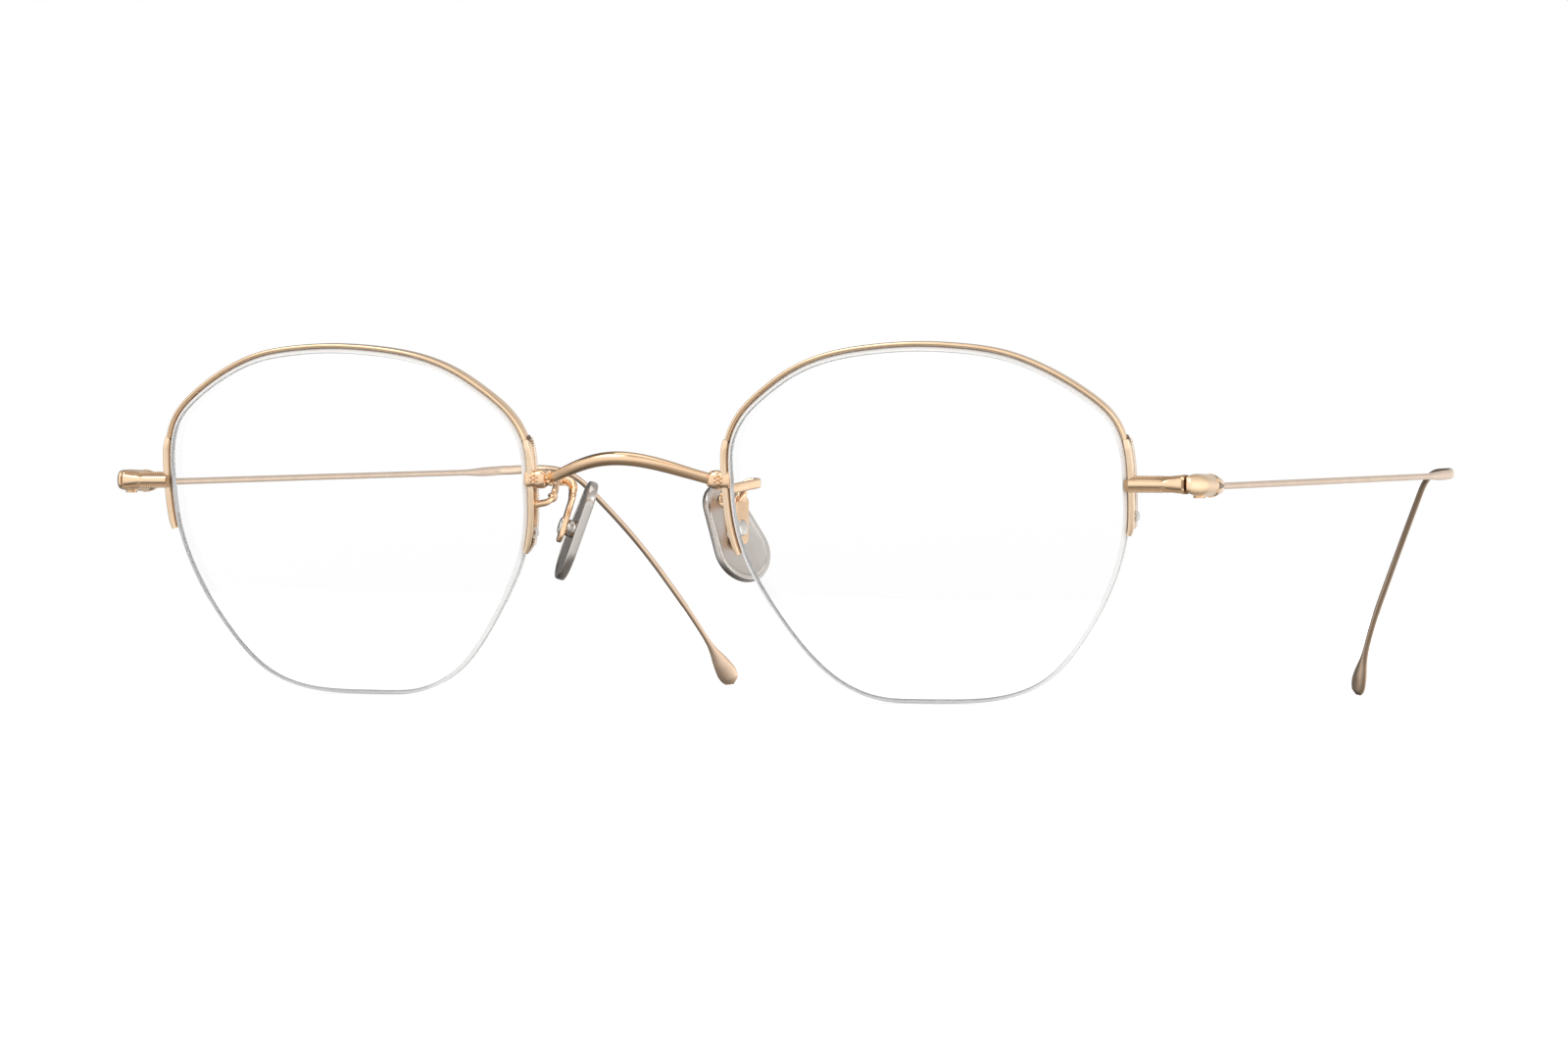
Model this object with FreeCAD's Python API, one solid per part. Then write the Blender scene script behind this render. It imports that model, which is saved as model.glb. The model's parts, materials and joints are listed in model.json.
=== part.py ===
"""Half-rim spectacles: two lenses hung from thin upper rims by nylon cords, on fine wire temples.

Front frame: +X towards the wearer's left, +Y backwards along the temples, +Z up. While the
pieces are made, the origin lies on the plane of symmetry, level with the lens centres. The
finished pieces are then moved so that the origin is the middle of the table face: the
spectacles stand on their two lens bottoms and two temple tips. Millimetres and degrees.
"""
import FreeCAD, Part
import math
import os

V = FreeCAD.Vector

# Lenses and the way they sit in the front
LENS_WIDTH = 44.6
LENS_HEIGHT = 38.7
LENS_THICKNESS = 1.8
BRIDGE_GAP = 24.1            # between the two lenses, at their widest
BASE_CURVE_RADIUS = 133.0    # front surface of a four-dioptre base curve
FACE_WRAP = 2.8              # each lens turned back at its temporal side
FRONT_TILT = 12.1            # tops of the lenses lean forward
LENS_FORWARD = 0.5           # from the lens centres back to the origin

# Outline of one lens, anticlockwise from the temporal side, as shares of its half width and
# half height: a flat crown, long shoulders, short sides, and long slopes to a narrow foot.
OUTLINE_SHARES = [
    (0.990, 0.000), (1.000, 0.205), (0.993, 0.415), (0.943, 0.575),
    (0.835, 0.700), (0.655, 0.835), (0.440, 0.940), (0.215, 0.985),
    (0.000, 0.998), (-0.215, 0.985), (-0.435, 0.945), (-0.630, 0.863),
    (-0.795, 0.740), (-0.922, 0.605), (-0.990, 0.445), (-1.000, 0.255),
    (-0.992, 0.040), (-0.945, -0.190), (-0.840, -0.430), (-0.700, -0.670),
    (-0.520, -0.880), (-0.312, -0.985), (-0.107, -1.000), (0.107, -1.000),
    (0.327, -0.978), (0.540, -0.885), (0.720, -0.680), (0.890, -0.365),
]

# Nylon in the lens groove
GROOVE_WIDTH = 0.62
GROOVE_DEPTH = 0.55
NYLON_CLEARANCE = 0.03
NYLON_WIDTH = GROOVE_WIDTH - 2 * NYLON_CLEARANCE
CORD_RADIUS = 0.2
CORD_LOOP_PITCH = 0.95       # between the two cord holes of a plate

# Upper rims and the plates that close them on both sides
RIM_GAP = 0.04               # between the lens edge and the metal
RIM_THICKNESS = 0.48
RIM_DEPTH = 1.75
LINER_SEAT = 0.22            # depth of the liner in the rim's own groove
PLATE_THICKNESS = 0.68
PLATE_DEPTH = 1.9
PLATE_LIP = 0.1              # the plates stand this far in front of the lens
NOTCH_LENGTH = 0.8
NOTCH_DEPTH = 0.7
TEMPORAL_TOP = 23.5          # polar angles on the outline, from the temporal side
TEMPORAL_BOTTOM = -3.1
TEMPORAL_LOOP = 2.1
NASAL_TOP = 156.5
NASAL_BOTTOM = 188.2
NASAL_LOOP = 182.4

# Bridge
BRIDGE_RADIUS = 0.76
BRIDGE_FOOT_SETBACK = 2.15   # from the nasal edge of the lens in to the foot of the arch
BRIDGE_FOOT = (BRIDGE_GAP / 2 - BRIDGE_FOOT_SETBACK, 0.75, 5.15)
BRIDGE_FORWARD = 3.85
BRIDGE_RISE = 2.2
BRIDGE_RISE_POWER = 1.2
BRIDGE_SPANS = 6
COLLAR_RADIUS = 0.94
COLLAR_LENGTH = 0.55
BRIDGE_LAP_LENGTH = 0.1      # beyond the nasal edge of the lens
BRIDGE_LAP_HEIGHT = 1.9
BRIDGE_LAP_FRONT = -0.85
BRIDGE_LAP_BACK = 1.7

# End pieces and hinges
TEMPORAL_EDGE_X = BRIDGE_GAP / 2 + LENS_WIDTH
HINGE_REACH = 6.75           # from the temporal edge of the lens out to the hinge axis
HINGE_X = TEMPORAL_EDGE_X + HINGE_REACH
HINGE_Y = 5.45
HINGE_Z = 4.92
END_HEIGHT = 1.7
END_FLARE_HEIGHT = 2.2
END_FLARE_LENGTH = 1.5
END_LAP = 0.2                # the end piece starts inside the temporal edge of the lens
END_LAP_X = TEMPORAL_EDGE_X - END_LAP
END_FRONT = 1.4
END_BACK = 3.5
END_SWEEP = 0.75             # the end piece drifts back by this much towards the hinge
END_BAND_HEIGHT = 0.92
END_BAND_RELIEF = 0.15
SEAM_SETBACK = 0.57
SEAM_X = HINGE_X - SEAM_SETBACK
HEAD_RADIUS = 1.19
HEAD_FRONT_RADIUS = 2.0
HEAD_LENGTH = 6.4            # from the hinge axis back to the wire
HEAD_STRAIGHT = 2.6
HINGE_GAP = 0.05
TONGUE_THICKNESS = 0.8
TONGUE_WIDTH = 1.1
TONGUE_LENGTH = 3.0
TONGUE_EYE = 0.85
FOLD_ANGLE = 80.0
SCREW_RADIUS = 0.42
SCREW_FIT = 0.02
SCREW_HEAD_RADIUS = 0.62
SCREW_HEAD_HEIGHT = 0.45
SCREW_HEAD_PROUD = 0.2
SCREW_SLOT_WIDTH = 0.18
SCREW_SLOT_DEPTH = 0.15

# Temples: legs of the wire as (length, angle inward, angle upward), then the drop to the tip,
# which ends on the table
WIRE_RADIUS = 0.36
WIRE_SOCKET = 3.0
TEMPLE_LEGS = [
    (82.4, 1.1, 1.9), (7.4, 1.8, 3.4), (8.2, 41.0, 3.5),
    (13.8, 37.0, -42.0), (12.4, 44.0, -51.5),
]
DROP_INWARD = 34.5
DROP_UPWARD = -54.0
TIP_LENGTH = 7.2
TIP_SECTIONS = [
    # share of the tip's length, half width, half thickness
    (0.0, 0.3, 0.26), (0.25, 0.58, 0.44), (0.48, 0.95, 0.5),
    (0.72, 1.28, 0.56), (0.9, 1.0, 0.5), (1.0, 0.42, 0.25),
]
TIP_CORE = 0.35              # share of the tip that the round wire reaches into
TIP_FACE = (-0.6, -0.75, -0.2)

# Nose pads
NASAL_EDGE_X = BRIDGE_GAP / 2
PAD_CENTRE = (NASAL_EDGE_X - 2.55, 7.5, -0.35)
PAD_NORMAL = (0.80, -0.50, 0.31)
PAD_LONG_AXIS = (0.364, 0.097, -0.925)
PAD_LENGTH = 11.5
PAD_TOP_RADIUS = 2.7
PAD_BOTTOM_RADIUS = 3.65
PAD_THICKNESS = 1.0
PAD_EDGE_ROUND = 0.3
PAD_BOSS_RADIUS = 0.95
PAD_BOSS_LENGTH = 0.675
PAD_PLAY = 0.05
RIVET_RADIUS = 0.4
RIVET_FIT = 0.03
RIVET_HEAD_RADIUS = 0.85
RIVET_HEAD_HEIGHT = 0.32
ARM_RADIUS = 0.42
ARM_PADDLE_THICKNESS = 0.55
ARM_PADDLE_WIDTH = 1.8
ARM_PADDLE_UP = 4.0
ARM_PADDLE_DOWN = 1.9
ARM_PADDLE_AXIS = (0.167, -0.36, -0.917)
ARM_ROUTE = [                # offsets inward from the nasal edge of the lens, then y and z
    (0.45, 1.3, 2.4), (2.0, 1.75, 2.7), (1.85, 3.6, 4.2), (-0.5, 8.45, 5.15), (1.8, 8.45, 5.05),
]

SOLID_REACH = 14.0           # half length of the tools that cut lens-shaped pieces
END_TOOL_REACH = 10.0        # half length of the tools that shape the end piece
OUTLINE_SAMPLES = 72
AXIS_Y = V(0, 1, 0)
AXIS_Z = V(0, 0, 1)

LENS_CENTRE_X = (BRIDGE_GAP + LENS_WIDTH) / 2


def unit(values):
    """Unit vector from three numbers."""
    vector = V(*values)
    vector.normalize()
    return vector


# Lens-shaped pieces, made in the frame of one lens: x temporal, y backwards, z up

def lens_curve():
    """Closed curve of the lens outline."""
    points = [V(a * LENS_WIDTH / 2, 0, b * LENS_HEIGHT / 2) for a, b in OUTLINE_SHARES]
    curve = Part.BSplineCurve()
    curve.interpolate(Points=points, PeriodicFlag=True)
    return curve


LENS_CURVE = lens_curve()


def outward(parameter):
    """Outward normal of the lens outline at a parameter of its curve."""
    tangent = LENS_CURVE.tangent(parameter)[0]
    return V(tangent.z, 0, -tangent.x)


def offset_face(offset):
    """Flat face inside the lens outline grown by an offset."""
    first, last = LENS_CURVE.FirstParameter, LENS_CURVE.LastParameter
    points = []
    for index in range(OUTLINE_SAMPLES):
        parameter = first + (last - first) * index / OUTLINE_SAMPLES
        points.append(LENS_CURVE.value(parameter) + outward(parameter) * offset)
    curve = Part.BSplineCurve()
    curve.interpolate(Points=points, PeriodicFlag=True)
    return Part.Face(Part.Wire([curve.toShape()]))


def prism(offset):
    """Straight solid through the lens outline grown by an offset."""
    face = offset_face(offset)
    face.translate(V(0, -SOLID_REACH, 0))
    return face.extrude(V(0, 2 * SOLID_REACH, 0))


def ball(depth):
    """Ball whose near side lies a given depth behind the front surface of the lens."""
    return Part.makeSphere(BASE_CURVE_RADIUS - depth, V(0, BASE_CURVE_RADIUS, 0))


def band(inner, outer, front, back):
    """Ring between two offsets of the outline and between two depths of the base curve."""
    ring = prism(outer).common(ball(front)).cut(ball(back))
    return ring.cut(prism(inner))


def sector(start, end):
    """Wedge about the lens centre between two polar angles, in degrees."""
    steps = max(2, int(abs(end - start) / 20) + 1)
    reach = LENS_WIDTH
    corners = [V(0, -SOLID_REACH, 0)]
    for index in range(steps + 1):
        angle = math.radians(start + (end - start) * index / steps)
        corners.append(V(reach * math.cos(angle), -SOLID_REACH, reach * math.sin(angle)))
    corners.append(corners[0])
    return Part.Face(Part.makePolygon(corners)).extrude(V(0, 2 * SOLID_REACH, 0))


def parameter_at(angle):
    """Parameter of the outline where it crosses a ray at a polar angle in degrees."""
    first, last = LENS_CURVE.FirstParameter, LENS_CURVE.LastParameter
    ray = math.radians(angle)
    side = V(-math.sin(ray), 0, math.cos(ray))
    along = V(math.cos(ray), 0, math.sin(ray))
    count = 720
    best = None
    for index in range(count):
        parameter = first + (last - first) * index / count
        point = LENS_CURVE.value(parameter)
        miss = abs(point.dot(side))
        if point.dot(along) > 0 and (best is None or miss < best[0]):
            best = (miss, parameter)
    return best[1]


def on_base_curve(point, depth):
    """Point of the lens frame moved back onto the surface at a depth."""
    radius = BASE_CURVE_RADIUS - depth
    sag = BASE_CURVE_RADIUS - math.sqrt(radius ** 2 - point.x ** 2 - point.z ** 2)
    return V(point.x, sag, point.z)


def groove_front():
    """Depth of the front wall of the lens groove."""
    return (LENS_THICKNESS - GROOVE_WIDTH) / 2


def place_in_front(shape):
    """Moves a lens-frame shape to its place on the wearer's left side of the front."""
    placed = shape.copy()
    placed.rotate(V(0, 0, 0), AXIS_Z, FACE_WRAP)
    placed.rotate(V(0, 0, 0), V(1, 0, 0), FRONT_TILT)
    placed.translate(V(LENS_CENTRE_X, -LENS_FORWARD, 0))
    return placed


def lens():
    blank = prism(0).common(ball(0)).cut(ball(LENS_THICKNESS))
    front = groove_front()
    groove = band(-GROOVE_DEPTH, 1.0, front, front + GROOVE_WIDTH)
    return blank.cut(groove)


def liner_space(clearance):
    """Ring that the liner fills in the lens groove and the rim groove, grown by a clearance."""
    front = groove_front() + NYLON_CLEARANCE - clearance
    back = groove_front() + GROOVE_WIDTH - NYLON_CLEARANCE + clearance
    inner = -GROOVE_DEPTH + NYLON_CLEARANCE - clearance
    return band(inner, RIM_GAP + LINER_SEAT + clearance, front, back)


def rim_liner():
    start = (TEMPORAL_TOP + TEMPORAL_BOTTOM) / 2 + 2
    end = (NASAL_TOP + NASAL_BOTTOM) / 2 - 4
    return liner_space(0).common(sector(start, end))


def upper_rim():
    ring = band(RIM_GAP, RIM_GAP + RIM_THICKNESS, 0, RIM_DEPTH)
    return ring.common(sector(TEMPORAL_TOP, NASAL_TOP)).cut(liner_space(NYLON_CLEARANCE))


def cord_holes(angle):
    """Middle points, on the lens edge, of the two cord holes of a plate, with the normal."""
    parameter = parameter_at(angle)
    middle = LENS_CURVE.value(parameter)
    normal = outward(parameter)
    tangent = V(normal.z, 0, -normal.x)
    depth = LENS_THICKNESS / 2
    holes = [on_base_curve(middle + tangent * (side * CORD_LOOP_PITCH / 2), depth) for side in (-1, 1)]
    level = holes[0].y
    return [V(hole.x, level, hole.z) for hole in holes], normal


def plate(top, bottom, loop):
    """One side plate: a short thick rim with a notched top and two cord holes."""
    outer = RIM_GAP + PLATE_THICKNESS
    ring = band(RIM_GAP, outer, -PLATE_LIP, PLATE_DEPTH - PLATE_LIP)
    body = ring.common(sector(min(top, bottom), max(top, bottom)))
    body = body.cut(liner_space(NYLON_CLEARANCE))
    turn = math.degrees(NOTCH_LENGTH / (LENS_WIDTH / 2))
    notch_start, notch_end = (top - turn, top + 1) if top < 90 else (top - 1, top + turn)
    notch = band(RIM_GAP - 0.02, outer - 0.2, -PLATE_LIP - 0.5, NOTCH_DEPTH)
    body = body.cut(notch.common(sector(notch_start, notch_end)))
    holes, normal = cord_holes(loop)
    for hole in holes:
        start = hole - normal * 0.5
        drill = Part.makeCylinder(CORD_RADIUS + NYLON_CLEARANCE, outer + 1.5, start, normal)
        body = body.cut(drill)
    return body


def cord_loop(angle):
    """End of the cord: out through one hole of the plate and back in through the other."""
    holes, normal = cord_holes(angle)
    outer = RIM_GAP + PLATE_THICKNESS + CORD_RADIUS
    root = -GROOVE_DEPTH / 2
    first_in, second_in = [hole + normal * root for hole in holes]
    first_out, second_out = [hole + normal * outer for hole in holes]
    crown = (first_out + second_out) * 0.5 + normal * (CORD_LOOP_PITCH / 2)
    path = Part.Wire([
        Part.LineSegment(first_in, first_out).toShape(),
        Part.Arc(first_out, crown, second_out).toShape(),
        Part.LineSegment(second_out, second_in).toShape(),
    ])
    circle = Part.Circle(first_in, normal, CORD_RADIUS)
    profile = Part.Wire([circle.toShape()])
    return path.makePipeShell([profile], True, False)


def lens_cord():
    front = groove_front() + NYLON_CLEARANCE
    run = band(-GROOVE_DEPTH + NYLON_CLEARANCE, -NYLON_CLEARANCE, front, front + NYLON_WIDTH)
    run = run.common(sector(NASAL_LOOP - 2.5, 360 + TEMPORAL_LOOP + 2.5))
    return run.fuse([cord_loop(TEMPORAL_LOOP), cord_loop(NASAL_LOOP)]).removeSplitter()


def rim_envelope():
    """Room taken by one lens with its plates, seen from the pieces soldered to them."""
    room = prism(RIM_GAP + PLATE_THICKNESS).common(ball(-PLATE_LIP))
    return place_in_front(room.cut(ball(PLATE_DEPTH - PLATE_LIP)))


def foot_level():
    """Height of the lowest edge of a lens in the front, measured from the lens centres."""
    half = LENS_HEIGHT / 2
    sag = BASE_CURVE_RADIUS - math.sqrt(BASE_CURVE_RADIUS ** 2 - half ** 2)
    tilt = math.radians(FRONT_TILT)
    return sag * math.sin(tilt) - half * math.cos(tilt)


# Bridge

def bridge_point(x):
    """Point of the bridge's centre line."""
    foot_x, foot_y, foot_z = BRIDGE_FOOT
    arch = max(0.0, math.cos(math.pi * x / (2 * foot_x)))
    return V(x, foot_y - BRIDGE_FORWARD * arch, foot_z + BRIDGE_RISE * arch ** BRIDGE_RISE_POWER)


def rounded_path(points):
    """Straight runs joined by tangent arcs through a list of points, as one wire."""
    edges = []
    start = points[0]
    for index in range(1, len(points) - 1):
        corner = points[index]
        before = (points[index - 1] - corner)
        after = (points[index + 1] - corner)
        setback = 0.45 * min(before.Length, after.Length)
        before.normalize()
        after.normalize()
        half_turn = (math.pi - before.getAngle(after)) / 2
        entry = corner + before * setback
        leave = corner + after * setback
        radius = setback / math.tan(half_turn)
        bisector = before + after
        bisector.normalize()
        middle = corner + bisector * (radius / math.cos(half_turn) - radius)
        if (entry - start).Length > 0.001:
            edges.append(Part.LineSegment(start, entry).toShape())
        edges.append(Part.Arc(entry, middle, leave).toShape())
        start = leave
    edges.append(Part.LineSegment(start, points[-1]).toShape())
    return Part.Wire(edges)


def round_wire(points, radius):
    """Round wire of one radius along a rounded path."""
    path = rounded_path(points)
    direction = points[1] - points[0]
    profile = Part.Wire([Part.Circle(points[0], direction, radius).toShape()])
    return path.makePipeShell([profile], True, False)


def bridge():
    foot_x, foot_y, foot_z = BRIDGE_FOOT
    points = [bridge_point(foot_x * (2 * i / BRIDGE_SPANS - 1)) for i in range(BRIDGE_SPANS + 1)]
    end = V(foot_x + 1.0, foot_y + 0.35, foot_z)
    mirrored_end = V(-end.x, end.y, end.z)
    bar = round_wire([mirrored_end] + points[1:-1] + [end], BRIDGE_RADIUS)
    direction = points[-1] - points[-2]
    direction.normalize()
    collar_start = points[-1] - direction * (COLLAR_LENGTH + 0.2)
    collar = Part.makeCylinder(COLLAR_RADIUS, COLLAR_LENGTH, collar_start, direction)
    lap_end = LENS_CENTRE_X - LENS_WIDTH / 2 + BRIDGE_LAP_LENGTH
    half = BRIDGE_LAP_HEIGHT / 2
    depth = BRIDGE_LAP_BACK - BRIDGE_LAP_FRONT
    block = Part.makeBox(lap_end - half - foot_x, depth, 2 * half, V(foot_x, BRIDGE_LAP_FRONT, foot_z - half))
    nose = Part.makeCylinder(half, depth, V(lap_end - half, BRIDGE_LAP_FRONT, foot_z), AXIS_Y)
    end_solid = block.fuse([nose, collar])
    solid = bar.fuse([end_solid, mirror(end_solid)])
    envelope = rim_envelope()
    return largest(solid.cut(envelope).cut(mirror(envelope)).removeSplitter())


# End pieces and hinges

def hinge_point(dx, dy, dz):
    return V(HINGE_X + dx, HINGE_Y + dy, HINGE_Z + dz)


def end_outline():
    """Outline of the end piece seen from above, as a solid of its full height."""
    front_end = END_FRONT + END_SWEEP
    back_end = END_BACK + END_SWEEP / 2
    flat_end = HINGE_X - HEAD_RADIUS - HINGE_GAP
    corners = [
        V(END_LAP_X, END_FRONT, 0), V(SEAM_X, front_end, 0),
        V(SEAM_X, back_end, 0), V(END_LAP_X, END_BACK, 0), V(END_LAP_X, END_FRONT, 0),
    ]
    solid = Part.Face(Part.makePolygon(corners)).extrude(V(0, 0, END_FLARE_HEIGHT))
    solid.translate(V(0, 0, HINGE_Z - END_FLARE_HEIGHT / 2))
    reach = END_TOOL_REACH
    sweep = Part.makeCylinder(HEAD_FRONT_RADIUS + HINGE_GAP, 2 * reach, hinge_point(0, 0, -reach), AXIS_Z)
    beyond = Part.makeBox(reach, 2 * reach, 2 * reach, V(flat_end, HINGE_Y - reach, HINGE_Z - reach))
    return solid.cut(sweep.common(beyond))


def end_profile():
    """Side profile of the end piece: a level bar that flares towards the hinge."""
    half = END_HEIGHT / 2
    flare = END_FLARE_HEIGHT / 2
    start = SEAM_X - END_FLARE_LENGTH
    corners = [
        (END_LAP_X - 1, -half), (start, -half), (SEAM_X + 1, -flare),
        (SEAM_X + 1, flare), (start, half), (END_LAP_X - 1, half), (END_LAP_X - 1, -half),
    ]
    wire = Part.makePolygon([V(x, HINGE_Y - END_TOOL_REACH, HINGE_Z + z) for x, z in corners])
    return Part.Face(wire).extrude(V(0, 2 * END_TOOL_REACH, 0))


def end_band():
    """Raised polished band along the front of the end piece."""
    front_end = END_FRONT + END_SWEEP
    rise = END_BAND_RELIEF
    corners = [
        V(END_LAP_X, END_FRONT - rise, 0), V(SEAM_X, front_end - rise, 0),
        V(SEAM_X, front_end + 0.1, 0), V(END_LAP_X, END_FRONT + 0.1, 0), V(END_LAP_X, END_FRONT - rise, 0),
    ]
    solid = Part.Face(Part.makePolygon(corners)).extrude(V(0, 0, END_BAND_HEIGHT))
    solid.translate(V(0, 0, HINGE_Z - END_BAND_HEIGHT / 2))
    return solid


def tongue_direction():
    """Direction from the hinge axis to the end piece, in degrees from +X."""
    return math.degrees(math.atan2(END_BACK - 0.4 - HINGE_Y, SEAM_X - 1.2 - HINGE_X))


def tongue_bar(length, width, thickness, direction):
    """Flat bar that leaves the hinge axis in a direction given in degrees from +X."""
    bar = Part.makeBox(length, width, thickness, V(0, -width / 2, -thickness / 2))
    bar.rotate(V(0, 0, 0), AXIS_Z, direction)
    return bar


def tongue():
    """Flat tongue with an eye, which carries the temple head on the hinge screw."""
    half = TONGUE_THICKNESS / 2
    eye = Part.makeCylinder(TONGUE_EYE, TONGUE_THICKNESS, hinge_point(0, 0, -half), AXIS_Z)
    shank = tongue_bar(TONGUE_LENGTH, TONGUE_WIDTH, TONGUE_THICKNESS, tongue_direction())
    shank.translate(hinge_point(0, 0, 0))
    return eye.fuse(shank)


def end_piece():
    body = end_outline().common(end_profile())
    body = body.fuse([end_band(), tongue()]).removeSplitter()
    hole = Part.makeCylinder(SCREW_RADIUS + SCREW_FIT, 4, hinge_point(0, 0, -2), AXIS_Z)
    return largest(body.cut(hole).cut(rim_envelope()))


def head_profile():
    """Turned outer shape of the temple head about its long axis."""
    front = -HEAD_FRONT_RADIUS - 0.5
    wire_start = HEAD_LENGTH
    points = [V(HEAD_RADIUS, HEAD_STRAIGHT, 0), V(HEAD_RADIUS * 0.86, HEAD_STRAIGHT + 2.3, 0),
              V(WIRE_RADIUS + 0.15, wire_start, 0)]
    tail = Part.BSplineCurve()
    tail.interpolate(Points=points)
    edges = [
        Part.LineSegment(V(0, front, 0), V(HEAD_RADIUS, front, 0)).toShape(),
        Part.LineSegment(V(HEAD_RADIUS, front, 0), points[0]).toShape(),
        tail.toShape(),
        Part.LineSegment(points[2], V(0, wire_start, 0)).toShape(),
        Part.LineSegment(V(0, wire_start, 0), V(0, front, 0)).toShape(),
    ]
    face = Part.Face(Part.Wire(edges))
    return face.revolve(V(0, 0, 0), AXIS_Y, 360)


def tongue_slot():
    """Slot that the tongue sweeps through in the temple head."""
    thickness = TONGUE_THICKNESS + 2 * HINGE_GAP
    width = TONGUE_WIDTH + 2 * HINGE_GAP
    last = tongue_direction()
    first = last - FOLD_ANGLE
    reach = 2 * HEAD_FRONT_RADIUS
    eye = Part.makeCylinder(TONGUE_EYE + HINGE_GAP, thickness, V(0, 0, -thickness / 2), AXIS_Z)
    steps = 6
    corners = [V(0, 0, -thickness / 2)]
    for index in range(steps + 1):
        angle = math.radians(first + (last - first) * index / steps)
        corners.append(V(reach * math.cos(angle), reach * math.sin(angle), -thickness / 2))
    corners.append(corners[0])
    wedge = Part.Face(Part.makePolygon(corners)).extrude(V(0, 0, thickness))
    bars = [tongue_bar(reach, width, thickness, direction) for direction in (first, last)]
    return eye.fuse([wedge] + bars)


def temple_head():
    body = head_profile()
    front = Part.makeSphere(HEAD_FRONT_RADIUS)
    rear = Part.makeBox(6, 20, 6, V(-3, 0, -3))
    body = body.common(front.fuse(rear))
    body = body.cut(tongue_slot())
    body = body.cut(Part.makeCylinder(SCREW_RADIUS, 4, V(0, 0, -2), AXIS_Z))
    bore_top = -HEAD_RADIUS - SCREW_HEAD_PROUD + SCREW_HEAD_HEIGHT
    bore = Part.makeCylinder(SCREW_HEAD_RADIUS + SCREW_FIT, 3, V(0, 0, bore_top - 3), AXIS_Z)
    body = body.cut(bore)
    body.translate(hinge_point(0, 0, 0))
    return body.cut(wire_socket())


def hinge_screw():
    length = HEAD_RADIUS * 2 - 0.1
    shank = Part.makeCylinder(SCREW_RADIUS - 0.005, length, V(0, 0, -HEAD_RADIUS), AXIS_Z)
    bottom = -HEAD_RADIUS - SCREW_HEAD_PROUD
    head = Part.makeCylinder(SCREW_HEAD_RADIUS, SCREW_HEAD_HEIGHT, V(0, 0, bottom), AXIS_Z)
    slot = Part.makeBox(3, SCREW_SLOT_WIDTH, SCREW_SLOT_DEPTH, V(-1.5, -SCREW_SLOT_WIDTH / 2, bottom))
    screw = shank.fuse(head).removeSplitter().cut(slot)
    screw.translate(hinge_point(0, 0, 0))
    return screw


# Temples

def heading(inward, upward):
    """Direction of a temple leg: backwards, turned inward and upward."""
    a = math.radians(inward)
    b = math.radians(upward)
    return V(-math.sin(a) * math.cos(b), math.cos(a) * math.cos(b), math.sin(b))


def leg_points():
    """Route of the temple wire from inside the head to the start of the drop."""
    start = hinge_point(0, HEAD_LENGTH, 0)
    points = [start - heading(*TEMPLE_LEGS[0][1:]) * WIRE_SOCKET]
    position = start
    for length, inward, upward in TEMPLE_LEGS:
        position = position + heading(inward, upward) * length
        points.append(position)
    return points


def wire_socket():
    """Blind hole in the temple head for the end of the wire."""
    points = leg_points()
    direction = points[1] - points[0]
    return Part.makeCylinder(WIRE_RADIUS + 0.01, WIRE_SOCKET + 1, points[0], direction)


def temple_tip():
    """Flattened spoon-shaped end of the wire, laid along the drop, with its end at the origin."""
    along = heading(DROP_INWARD, DROP_UPWARD)
    face = unit(TIP_FACE)
    face = face - along * face.dot(along)
    face.normalize()
    width = face.cross(along)
    outlines = []
    for share, half_width, half_thickness in TIP_SECTIONS:
        centre = along * ((share - 1) * TIP_LENGTH)
        major = centre + width * half_width
        minor = centre + face * half_thickness
        outlines.append(Part.Wire([Part.Ellipse(major, minor, centre).toShape()]))
    return Part.makeLoft(outlines, True)


def temple_wire():
    points = leg_points()
    spoon = temple_tip()
    hang = -spoon.optimalBoundingBox(False).ZMin
    along = heading(DROP_INWARD, DROP_UPWARD)
    drop = (foot_level() + hang - points[-1].z) / along.z
    end = points[-1] + along * drop
    wire = round_wire(points + [end - along * TIP_LENGTH * (1 - TIP_CORE)], WIRE_RADIUS)
    spoon.translate(end)
    return wire.fuse(spoon).removeSplitter()


# Nose pads and their arms

def pad_frame():
    """Normal, long axis and width axis of a nose pad."""
    normal = unit(PAD_NORMAL)
    long_axis = unit(PAD_LONG_AXIS)
    long_axis = long_axis - normal * long_axis.dot(normal)
    long_axis.normalize()
    return normal, long_axis, long_axis.cross(normal)


def in_pad_frame(shape, normal, long_axis, offset):
    """Moves a shape made along +Z (normal) and +X (long axis) to the pad."""
    width = normal.cross(long_axis)
    origin = V(*PAD_CENTRE) + normal * offset
    place = FreeCAD.Matrix(
        long_axis.x, width.x, normal.x, origin.x,
        long_axis.y, width.y, normal.y, origin.y,
        long_axis.z, width.z, normal.z, origin.z,
        0, 0, 0, 1)
    moved = shape.copy()
    moved.transformShape(place)
    return moved


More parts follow.
